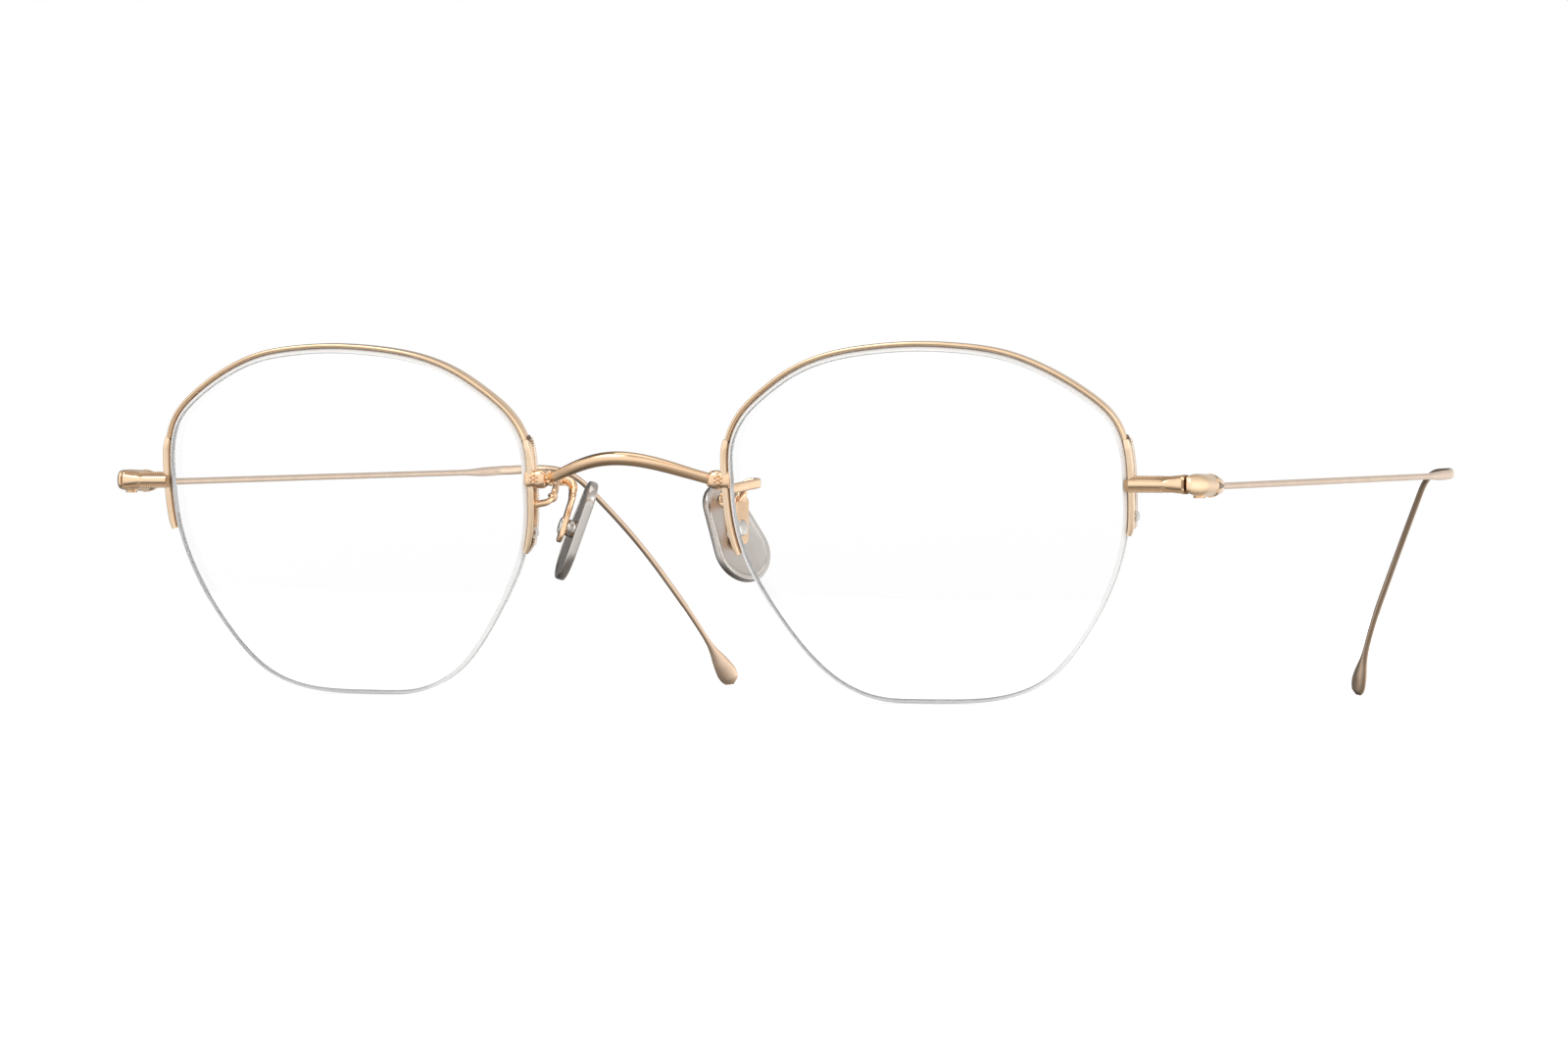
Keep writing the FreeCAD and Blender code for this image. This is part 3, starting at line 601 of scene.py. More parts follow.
@dataclass
class LensShape:
    """Outline of a lens and its seat in the front, in the frame of the wearer's left lens."""

    width: float = 44.6
    height: float = 38.7
    thickness: float = 1.8
    gap: float = 24.1
    base_curve: float = 133.0
    wrap: float = 2.8
    tilt: float = 12.1
    forward: float = 0.5
    samples: int = 480
    shares: tuple[tuple[float, float], ...] = (
        (0.990, 0.000), (1.000, 0.205), (0.993, 0.415), (0.943, 0.575),
        (0.835, 0.700), (0.655, 0.835), (0.440, 0.940), (0.215, 0.985),
        (0.000, 0.998), (-0.215, 0.985), (-0.435, 0.945), (-0.630, 0.863),
        (-0.795, 0.740), (-0.922, 0.605), (-0.990, 0.445), (-1.000, 0.255),
        (-0.992, 0.040), (-0.945, -0.190), (-0.840, -0.430), (-0.700, -0.670),
        (-0.520, -0.880), (-0.312, -0.985), (-0.107, -1.000), (0.107, -1.000),
        (0.327, -0.978), (0.540, -0.885), (0.720, -0.680), (0.890, -0.365),
    )

    def __post_init__(self) -> None:
        """Works out the outline, its normals and the place of the lens centre."""
        knots = np.array(self.shares) * [self.width / 2, self.height / 2]
        self.outline = self.closed_curve(knots)
        ahead = np.roll(self.outline, -1, axis=0) - np.roll(self.outline, 1, axis=0)
        normals = np.stack([ahead[:, 1], -ahead[:, 0]], -1)
        self.normals = normals / np.linalg.norm(normals, axis=1)[:, None]
        self.angles = np.degrees(np.unwrap(np.arctan2(self.outline[:, 1], self.outline[:, 0])))

    def closed_curve(self, knots: Array) -> Array:
        """Smooth closed cubic curve through knots.

        Args:
            knots: Points that the curve passes through.

        Returns:
            Evenly spaced samples of the curve by its parameter.
        """
        count = len(knots)
        spans = np.linalg.norm(np.roll(knots, -1, axis=0) - knots, axis=1)
        matrix = np.zeros((count, count))
        right = np.zeros((count, 2))
        for i in range(count):
            before, after = spans[i - 1], spans[i]
            matrix[i, i - 1] += before
            matrix[i, i] += 2 * (before + after)
            matrix[i, (i + 1) % count] += after
            rise = (knots[(i + 1) % count] - knots[i]) / after - (knots[i] - knots[i - 1]) / before
            right[i] = 6 * rise
        second = np.linalg.solve(matrix, right)
        ends = np.concatenate([[0], np.cumsum(spans)])
        result = []
        for t in np.linspace(0, ends[-1], self.samples, endpoint=False):
            i = min(int(np.searchsorted(ends, t, side="right")) - 1, count - 1)
            j, h = (i + 1) % count, spans[i]
            a, b = (ends[i + 1] - t) / h, (t - ends[i]) / h
            bend = ((a ** 3 - a) * second[i] + (b ** 3 - b) * second[j]) * h * h / 6
            result.append(a * knots[i] + b * knots[j] + bend)
        return np.array(result)

    @property
    def centre(self) -> float:
        """Distance of the lens centre from the plane of symmetry."""
        return (self.gap + self.width) / 2

    def seat(self, points: Array) -> Array:
        """Moves lens-frame points to the wearer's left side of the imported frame.

        Args:
            points: Rows of x temporal, y backwards, z up.

        Returns:
            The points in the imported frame, in millimetres.
        """
        turn, lean = math.radians(self.wrap), math.radians(self.tilt)
        x = points[..., 0] * math.cos(turn) - points[..., 1] * math.sin(turn)
        y = points[..., 0] * math.sin(turn) + points[..., 1] * math.cos(turn)
        z = points[..., 2]
        back = y * math.cos(lean) - z * math.sin(lean)
        up = y * math.sin(lean) + z * math.cos(lean)
        moved = np.stack([x + self.centre, back - self.forward, up], -1)
        return moved + ORIGIN

    def edge(self, offset: float | Array, depth: float | Array, pick: Array | None = None) -> Array:
        """Points beside the outline, at a depth behind the front surface.

        Args:
            offset: Distance outwards from the lens edge.
            depth: Depth behind the front surface.
            pick: Indices of the outline samples; all of them if left out.

        Returns:
            The points in the frame of the lens.
        """
        chosen = np.arange(self.samples) if pick is None else pick
        flat = self.outline[chosen] + self.normals[chosen] * np.reshape(offset, (-1, 1))
        return self.lifted(flat, depth)

    def lifted(self, flat: Array, depth: float | Array) -> Array:
        """Puts flat outline points on the curved surface at a depth.

        Args:
            flat: Rows of width and height in the frame of the lens.
            depth: Depth behind the front surface.

        Returns:
            The points in the frame of the lens.
        """
        radius = self.base_curve - np.asarray(depth)
        sag = self.base_curve - np.sqrt(radius ** 2 - (flat ** 2).sum(-1))
        return np.stack([flat[..., 0], sag, flat[..., 1]], -1)

    def stretch(self, start: float, end: float) -> Array:
        """Indices of the outline samples between two polar angles, in degrees.

        Args:
            start: First angle.
            end: Last angle, larger than the first.

        Returns:
            Indices in order.
        """
        wanted = np.arange(self.samples * 3) - self.samples
        angle = self.angles[wanted % self.samples] + 360 * (wanted // self.samples)
        return wanted[(angle >= start) & (angle <= end)] % self.samples

    def at(self, angle: float) -> int:
        """Index of the outline sample at a polar angle."""
        wrapped = (self.angles - angle + 180) % 360 - 180
        return int(np.abs(wrapped).argmin())


HINGE_IN_FRONT = np.array([63.4, 5.45, 4.92])
ORIGIN = hinge_place(Side.LEFT) - HINGE_IN_FRONT


@dataclass
class RimSizes:
    """Sizes that the rim, the plates and the nylon share."""

    clearance: float = 0.04
    rim_thickness: float = 0.48
    rim_depth: float = 1.75
    plate_thickness: float = 0.68
    plate_depth: float = 1.9
    plate_lip: float = 0.1
    temporal: tuple[float, float] = (-3.1, 23.5)
    nasal: tuple[float, float] = (156.5, 188.2)
    temporal_loop: float = 2.1
    nasal_loop: float = 182.4
    loop_pitch: float = 0.95
    cord_radius: float = 0.2


@dataclass
class Lens:
    """One lens with a chamfered, grooved edge."""

    shape: LensShape
    side: Side
    chamfer: float = 0.34
    groove_width: float = 0.62
    groove_depth: float = 0.36
    groove_slope: float = 0.03
    rings: int = 9

    def profile(self) -> list[Triple]:
        """Rows of the skin from the middle of the front to the middle of the back.

        Returns:
            Rows of share of the outline, offset from it and depth.
        """
        thick = self.shape.thickness
        groove = (thick - self.groove_width) / 2
        shares = [0.02] + [i / self.rings for i in range(1, self.rings)]
        front = [(share, 0.0, 0.0) for share in shares]
        back = [(share, 0.0, thick) for share in reversed(shares)]
        rim = [(1.0, -self.chamfer, 0.0), (1.0, 0.0, self.chamfer), (1.0, 0.0, groove),
               (1.0, -self.groove_depth, groove + self.groove_slope),
               (1.0, -self.groove_depth, thick - groove - self.groove_slope),
               (1.0, 0.0, thick - groove), (1.0, 0.0, thick - self.chamfer),
               (1.0, -self.chamfer, thick)]
        return front + rim + back

    def build(self, finishes: Finishes) -> None:
        """Makes the lens.

        Args:
            finishes: Materials of the spectacles.
        """
        maker = MeshMaker()
        rows = self.profile()
        skin = []
        for share, offset, depth in rows:
            flat = self.shape.outline * share + self.shape.normals * offset
            skin.append(self.shape.seat(self.shape.lifted(flat, depth)))
        edge = [int(near[0] == far[0] == 1.0) for near, far in zip(rows, rows[1:])]
        maker.rings(np.array(skin), groups=edge)
        name = self.side.label + "_clear_lens"
        piece = maker.build(name, self.side, [finishes.lens, finishes.edge], crease=25)
        place(piece, "front", Slot.LENS, self.side.label + "_lens")


@dataclass
class LensCord:
    """Nylon cord under one lens, with a loop through each plate."""

    shape: LensShape
    sizes: RimSizes
    side: Side
    run_offset: float = -0.24
    run_radius: float = 0.25
    swell: float = 1.15
    loop_root: float = -0.2
    loop_shoulder: float = 0.8
    loop_crown: float = 0.12
    sides: int = 10

    def loop(self, maker: MeshMaker, angle: float) -> None:
        """Adds the loop outside one plate.

        Args:
            maker: Collector of the mesh.
            angle: Polar angle of the loop's middle.
        """
        index = self.shape.at(angle)
        middle = self.shape.outline[index]
        normal = self.shape.normals[index]
        along = np.array([normal[1], -normal[0]])
        reach = self.sizes.clearance + self.sizes.plate_thickness
        crown = reach + self.sizes.cord_radius * self.swell
        half = self.sizes.loop_pitch / 2
        rising = [(half, self.loop_root), (half, reach - 0.1),
                  (half * self.loop_shoulder, crown * 0.97)]
        steps = [(-a, b) for a, b in rising] + [(0.0, crown + self.loop_crown)] + rising[::-1]
        flat = np.array([middle + along * a + normal * b for a, b in steps])
        level = self.shape.lifted(middle[None], self.shape.thickness / 2)[0, 1]
        route = np.stack([flat[:, 0], np.full(len(flat), level), flat[:, 1]], -1)
        radius = self.sizes.cord_radius
        maker.sweep(rounded_path(self.shape.seat(route), 0.12), BACKWARDS,
                    superellipse(radius, radius, 2, self.sides))

    def build(self, finishes: Finishes) -> None:
        """Makes the cord.

        Args:
            finishes: Materials of the spectacles.
        """
        maker = MeshMaker()
        pick = self.shape.stretch(self.sizes.nasal_loop, 360 + self.sizes.temporal_loop)
        path = self.shape.seat(self.shape.edge(self.run_offset, self.shape.thickness / 2, pick))
        maker.sweep(path, BACKWARDS, superellipse(self.run_radius, self.run_radius, 2, self.sides))
        self.loop(maker, self.sizes.temporal_loop)
        self.loop(maker, self.sizes.nasal_loop)
        piece = maker.build(self.side.label + "_nylon_cord", self.side, [finishes.nylon])
        place(piece, "front", Slot.NYLON, self.side.label + "_lens_cord")


@dataclass
class UpperRim:
    """Thin drawn rim wire over the top of one lens."""

    shape: LensShape
    sizes: RimSizes
    side: Side
    power: float = 3.6
    overlap: float = 1.5

    def build(self, finishes: Finishes) -> None:
        """Makes the rim.

        Args:
            finishes: Materials of the spectacles.
        """
        maker = MeshMaker()
        start, end = self.sizes.temporal[1] - self.overlap, self.sizes.nasal[0] + self.overlap
        pick = self.shape.stretch(start, end)
        offset = self.sizes.clearance + self.sizes.rim_thickness / 2
        depth = self.sizes.rim_depth / 2
        path = self.shape.seat(self.shape.edge(offset, depth, pick))
        outside = self.shape.seat(self.shape.edge(offset + 1, depth, pick)) - path
        maker.sweep(path, outside,
                    superellipse(self.sizes.rim_thickness / 2, depth, self.power, 28))
        piece = maker.build(self.side.label + "_rim_wire", self.side, [finishes.gold])
        place(piece, "front", Slot.GOLD, self.side.label + "_upper_rim")


class PlateKind(Enum):
    """Where a side plate sits on the lens."""

    TEMPORAL = "temporal"
    NASAL = "nasal"


@dataclass
class SidePlate:
    """Short thick rim at one side of a lens, beaded along its outer face."""

    shape: LensShape
    sizes: RimSizes
    side: Side
    kind: PlateKind
    power: float = 6.0
    taper_length: float = 1.0
    taper_share: float = 0.55
    notch_length: float = 0.75
    notch_depth: float = 0.9
    notch_narrowing: float = 0.3
    # Length at the foot of a plate that is painted in dark shade.
    dark_foot: float = 0.22
    bead_pitch: float = 0.27
    bead_radius: float = 0.115
    bead_start: float = 0.7
    bead_margin: float = 0.9
    bead_sink: float = 0.03
    bead_height: float = 0.7
    bead_sides: int = 7
    bead_rows: tuple[float, ...] = (0.3, 0.75, 1.2, 1.65)

    def build(self, finishes: Finishes) -> None:
        """Makes the plate with its beads.

        Args:
            finishes: Materials of the spectacles.
        """
        maker = MeshMaker()
        low, high = self.sizes.temporal if self.kind is PlateKind.TEMPORAL else self.sizes.nasal
        pick = self.shape.stretch(low, high)
        if self.kind is PlateKind.NASAL:
            pick = pick[::-1]
        thick, deep, lip = self.sizes.plate_thickness, self.sizes.plate_depth, self.sizes.plate_lip
        reach = travelled(self.shape.edge(self.sizes.clearance + thick / 2, deep / 2 - lip, pick))
        path, sections, outward, groups = [], [], [], []
        for index, sample in enumerate(pick):
            from_foot, from_top = reach[index], reach[-1] - reach[index]
            taper = self.taper_share + (1 - self.taper_share) * from_foot / self.taper_length
            share = math.sqrt(min(1.0, taper))
            into_notch = max(0.0, 1 - from_top / self.notch_length)
            wide = thick * share * (1 - self.notch_narrowing * into_notch)
            cut = self.notch_depth if from_top < self.notch_length else 0.0
            offset = self.sizes.clearance + wide / 2
            depth = cut + (deep - cut) / 2 - lip
            one = np.array([sample])
            centre = self.shape.seat(self.shape.edge(offset, depth, one))[0]
            path.append(centre)
            outward.append(self.shape.seat(self.shape.edge(offset + 1, depth, one))[0] - centre)
            sections.append(superellipse(wide / 2, (deep - cut) / 2, self.power, 28))
            # Strips in the notch and at the foot get the darkest gold as painted shade.
            groups.append(1 if cut or from_foot < self.dark_foot else 0)
        maker.sweep(np.array(path), np.array(outward), sections, groups[1:])
        self.beads(maker, pick, reach)
        name = f"{self.side.label}_{self.kind.value}_rim_plate"
        # The plate body takes the lighter gold with a painted highlight; notch and foot strips take
        # the darkest gold with painted shade.
        piece = maker.build(name, self.side, [finishes.plate_gold, finishes.groove], crease=50)
        place(piece, "front", Slot.GOLD, f"{self.side.label}_{self.kind.value}_plate")

    def beads(self, maker: MeshMaker, pick: Array, reach: Array) -> None:
        """Adds the rows of beads on the outer face.

        Args:
            maker: Collector of the mesh.
            pick: Outline samples from the foot to the top.
            reach: Distance of each sample from the foot.
        """
        face = self.sizes.clearance + self.sizes.plate_thickness
        for row, depth in enumerate(self.bead_rows):
            shift = (row % 2) * self.bead_pitch / 2
            count = int((reach[-1] - self.bead_margin) / self.bead_pitch)
            for number in range(count):
                distance = self.bead_start + shift + number * self.bead_pitch
                exact = float(np.interp(distance, reach, np.arange(len(reach))))
                sample = pick[int(exact)]
                following = pick[min(int(exact) + 1, len(pick) - 1)]
                level = depth - self.sizes.plate_lip
                near = self.shape.edge(face, level, np.array([sample, following]))
                middle = near[0] + (near[1] - near[0]) * (exact - int(exact))
                out = self.shape.edge(face + 1, level, np.array([sample]))[0] - near[0]
                seat = self.shape.seat(np.array([middle, middle + out]))
                axis = seat[1] - seat[0]
                maker.bead(seat[0] - unit(axis) * self.bead_sink, axis, self.bead_radius,
                           self.bead_height, self.bead_sides)


@dataclass
class Bridge:
    """Arched bar with a bead collar and a lapping, ornamented block at both ends."""

    shape: LensShape
    radius: float = 0.76
    foot: Triple = (9.9, 0.75, 5.15)
    forward: float = 3.74
    rise: float = 2.2
    rise_power: float = 1.2
    steps: int = 56
    bar_up: Triple = (0.0, -0.35, 1.0)
    facet_rate: float = 1.25
    facet_power: float = 3.4
    thinning: float = 0.24
    flattening: float = 0.06
    collar_beads: int = 9
    collar_bead_radius: float = 0.27
    collar_back: float = 0.45
    collar_share: float = 0.86
    lap_start: float = 9.75
    lap_end: float = 12.15
    lap_height: float = 2.1
    lap_front: float = -0.85
    lap_back: float = 0.9
    lap_power: float = 2.9
    nose_share: float = 0.8
    nose_thinning: float = 0.2
    block_shares: tuple[float, ...] = (0.0, 0.06, 0.16, 0.28, 0.4, 0.5, 0.6, 0.72, 0.84, 0.93,
                                       0.98, 1.0)
    block_swell: tuple[float, ...] = (0.72, 0.84, 0.97, 1.0, 0.96, 0.86, 0.9, 0.98, 0.99, 0.94,
                                      0.8, 0.5)
    rosette_centre: float = 0.2
    rosette_petals: int = 6
    rosette_petal: float = 0.19
    rosette_ring: float = 0.42

    def point(self, x: float) -> Array:
        """Point of the bar's centre line.

        Args:
            x: Distance from the plane of symmetry.

        Returns:
            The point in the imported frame, in millimetres.
        """
        foot_x, foot_y, foot_z = self.foot
        arch = max(0.0, math.cos(math.pi * x / (2 * foot_x)))
        height = foot_z + self.rise * arch ** self.rise_power
        return np.array([x, foot_y - self.forward * arch, height]) + ORIGIN

    def bar(self, maker: MeshMaker) -> None:
        """Adds the arched bar, round in the middle and facetted towards its ends.

        Args:
            maker: Collector of the mesh.
        """
        reach = self.foot[0]
        xs = np.linspace(-reach, reach, self.steps)
        path = np.array([self.point(x) for x in xs])
        sections = []
        for x in xs:
            share = min(1.0, abs(x) / reach * self.facet_rate)
            power = 2 + (self.facet_power - 2) * share ** 2
            radius = self.radius * (1.0 - self.thinning * share ** 1.5)
            sections.append(superellipse(radius, radius * (1 - self.flattening * share), power, 32))
        maker.sweep(path, self.bar_up, sections)

    def ends(self, maker: MeshMaker) -> None:
        """Adds the collar of beads and the lapping block at both ends.

        Args:
            maker: Collector of the mesh.
        """
        tip = self.point(self.foot[0] - 0.1)
        ahead = unit(tip - self.point(self.foot[0] - 1.0))
        first = unit(np.cross(ahead, UP))
        second = np.cross(ahead, first)
        for flip in (np.array([-1, 1, 1]), np.array([1, 1, 1])):
            for turn in around(self.collar_beads):
                out = first * math.cos(turn) + second * math.sin(turn)
                place_mm = tip - ahead * self.collar_back + out * self.radius * self.collar_share
                maker.bead(place_mm * flip, out * flip, self.collar_bead_radius, 1.0, 12)
            self.block(maker, flip)

    def block(self, maker: MeshMaker, flip: Array) -> None:
        """Adds one block that laps over the nasal plate, with a rosette on its front.

        Args:
            maker: Collector of the mesh.
            flip: Factors that mirror the block to its side.
        """
        start, end = self.lap_start, self.lap_end
        half = self.lap_height / 2
        nose_length = half * self.nose_share
        depth = self.lap_back - self.lap_front
        centre = ORIGIN + np.array([0, (self.lap_front + self.lap_back) / 2, self.foot[2]])
        stations, sections = [], []
        for share in np.linspace(0, 1, 31):
            x = start + (end - start) * share
            nose = max(0.0, (x - (end - nose_length)) / nose_length)
            tall = half * float(np.interp(share, self.block_shares, self.block_swell))
            thick = depth / 2 * (1 - self.nose_thinning * nose ** 2) * (tall / half) ** 0.4
            stations.append((centre + np.array([x, 0, 0])) * flip)
            sections.append(superellipse(tall, thick, self.lap_power, 28))
        maker.sweep(np.array(stations), UP, sections)
        face = (centre + np.array([(start + end) / 2 - 0.05, -depth / 2, 0])) * flip
        outwards = np.array([0, -1.0, 0])
        maker.bead(face, outwards, self.rosette_centre, 0.9, 12)
        for turn in around(self.rosette_petals) + math.pi / self.rosette_petals:
            petal = face + np.array([math.cos(turn), 0, math.sin(turn)]) * self.rosette_ring
            maker.bead(petal, outwards, self.rosette_petal, 0.8, 10)

    def build(self, finishes: Finishes) -> None:
        """Makes the bridge.

        Args:
            finishes: Materials of the spectacles.
        """
        maker = MeshMaker()
        self.bar(maker)
        self.ends(maker)
        # The bridge takes the darker copy of the gold with painted shade.
        piece = maker.build("arched_bridge", Side.LEFT, [finishes.bridge_gold], crease=60)
        place(piece, "front", Slot.GOLD, "bridge")


@dataclass
class EndTrim:
    """Polished half-round band and two milled bead lines on the front of one end piece."""

    side: Side
    start: float = 56.9
    end: float = 62.6
    notch: float = 60.55
    front: float = 1.4
    sweep: float = 0.75
    half_height: float = 0.85
    band_height: float = 0.92
    band_rise: float = 0.3
    band_dip: float = 0.35
    pinch_depth: float = 0.16
    pinch_width: float = 0.22
    flare: float = 0.2
    face_span: tuple[float, float] = (56.45, 62.83)
    lip: tuple[float, float] = (62.42, 62.81)
    lip_half: tuple[float, float] = (1.03, 0.95)
    lip_swell: tuple[float, ...] = (0.94, 1.0, 1.0, 1.0, 1.0, 0.95)
    lip_middle: float = 3.0
    bead_radius: float = 0.155
    bead_pitch: float = 0.3
    bead_back: float = 0.12
    bead_inset: float = 0.07
    bead_lean: float = 0.6

    def face(self, x: float) -> Array:
        """Point of the end piece's front face on its middle line.

        Args:
            x: Distance from the plane of symmetry, in the front's own frame.

        Returns:
            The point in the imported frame, in millimetres.
        """
        near, far = self.face_span
        share = (x - near) / (far - near)
        return ORIGIN + np.array([x, self.front + self.sweep * share, HINGE_IN_FRONT[2]])

    def build(self, finishes: Finishes) -> None:
        """Makes the band and the bead lines.

        Args:
            finishes: Materials of the spectacles.
        """
        maker = MeshMaker()
        xs = np.linspace(self.start, self.end, 24)
        path = np.array([self.face(x) for x in xs])
        sections = []
        for x in xs:
            widen = max(0.0, (x - self.notch) / (self.end - self.notch))
            near_notch = math.exp(-((x - self.notch) / self.pinch_width) ** 2)
            half = (self.band_height / 2 * (1 - self.pinch_depth * near_notch)
                    + self.flare * widen)
            rise = self.band_rise * (1 - self.band_dip * near_notch)
            sections.append(superellipse(half, rise, 2.3, 24))
        maker.sweep(path, UP, sections)
        lip_path = np.array([ORIGIN + [x, self.lip_middle, HINGE_IN_FRONT[2]]
                             for x in np.linspace(*self.lip, len(self.lip_swell))])
        maker.sweep(lip_path, UP, [superellipse(*self.lip_half, 4.0, 28) * share
                                   for share in self.lip_swell])
        count = int((self.notch - self.start) / self.bead_pitch)
        for index in range(count):
            x = self.start + self.bead_pitch * (index + 0.5)
            for sign in (-1, 1):
                level = sign * (self.half_height - self.bead_inset)
                maker.bead(self.face(x) + np.array([0, self.bead_back, level]),
                           np.array([0, -self.bead_lean, sign]), self.bead_radius, 0.9)
        piece = maker.build(self.side.label + "_end_band", self.side, [finishes.gold], crease=60)
        place(piece, "front", Slot.GOLD)


@dataclass
class TempleHead:
    """Rounded head of one temple, with claw petals that grip its rear."""

    side: Side
    radius: float = 1.19
    straight: float = 2.6
    length: float = 6.4
    tail_radius: float = 0.51
    tail_power: float = 2.3
    dome_from: float = 2.1
    # Distance behind the hinge axis from where the head's skin gets painted dark shade between the
    # petals.
    clawed_from: float = 3.0
    front: tuple[tuple[float, float, float, float], ...] = (
        (-3.24, -0.48, -0.24, 0.35), (-3.22, -0.54, -0.12, 0.66), (-3.14, -0.56, 0.0, 0.82),
        (-2.9, -0.56, 0.2, 0.92), (-2.5, -0.57, 0.43, 1.01), (-2.1, -0.59, 0.62, 1.07),
        (-1.7, -0.68, 0.79, 1.12), (-1.3, -0.86, 0.93, 1.15), (-0.9, -1.05, 1.04, 1.17),
        (-0.5, -1.14, 1.11, 1.185), (0.0, -1.18, 1.165, 1.19), (0.6, -1.19, 1.185, 1.19),
        (1.3, -1.19, 1.19, 1.19),
    )
    """Rows of the front: distance behind the hinge axis, inner and outer side, half height."""
    front_power: float = 2.4
    petals: int = 6
    petal_start: float = 2.75
    petal_end: float = 6.3
    petal_rise: float = 0.12
    petal_sink: float = 0.03
    petal_share: float = 0.37
    petal_thinnest: float = 0.04

    def surface(self, y: float) -> float:
        """Radius of the head behind its front.

        Args:
            y: Distance behind the hinge axis.

        Returns:
            The radius.
        """
        if y <= self.straight:
            return self.radius
        share = min(1.0, (y - self.straight) / (self.length - self.straight))
        return self.radius - (self.radius - self.tail_radius) * share ** self.tail_power

    def petal(self, maker: MeshMaker, origin: Array, turn: float) -> None:
        """Adds one claw petal along the rear of the head.

        Args:
            maker: Collector of the mesh.
            origin: Middle of the hinge.
            turn: Angle of the petal round the head.
        """
        out = np.array([math.cos(turn), 0, math.sin(turn)])
        path, sections = [], []
        for share in np.linspace(0, 1, 16):
            y = self.petal_start + (self.petal_end - self.petal_start) * share
            radius = self.surface(y)
            wide = self.petal_share * radius * math.sin(math.pi * (0.05 + 0.9 * share)) ** 0.6
            path.append(origin + np.array([0, y, 0]) + out * (radius - self.petal_sink))
            sections.append(superellipse(self.petal_rise, max(self.petal_thinnest, wide), 2.2, 14))
        maker.sweep(np.array(path), out, sections)

    def build(self, finishes: Finishes) -> None:
        """Makes the head and its petals.

        Args:
            finishes: Materials of the spectacles.
        """
        maker = MeshMaker()
        origin = ORIGIN + HINGE_IN_FRONT
        for turn in around(self.petals) + math.pi / self.petals:
            self.petal(maker, origin, turn)
        rows = [(y, (inner + outer) / 2, (outer - inner) / 2, tall,
                 min(self.front_power, 2.2 - y / 8)) for y, inner, outer, tall in self.front]
        rows += [(y, 0.0, self.surface(y), self.surface(y), 2.0)
                 for y in np.linspace(self.dome_from, self.length, 22)]
        skin = np.array([origin + np.array([middle, y, 0]) for y, middle, *_ in rows])
        sections = [superellipse(tall, wide, power, 40) for _, _, wide, tall, power in rows]
        # Skin behind clawed_from takes the darkest gold as painted shade between the petals.
        maker.sweep(skin, UP, sections, [int(row[0] > self.clawed_from) for row in rows[1:]])
        piece = maker.build(self.side.label + "_clawed_head", self.side,
                            [finishes.gold, finishes.groove], crease=60)
        place(piece, self.side.label + "_temple", Slot.GOLD, self.side.label + "_temple_head")


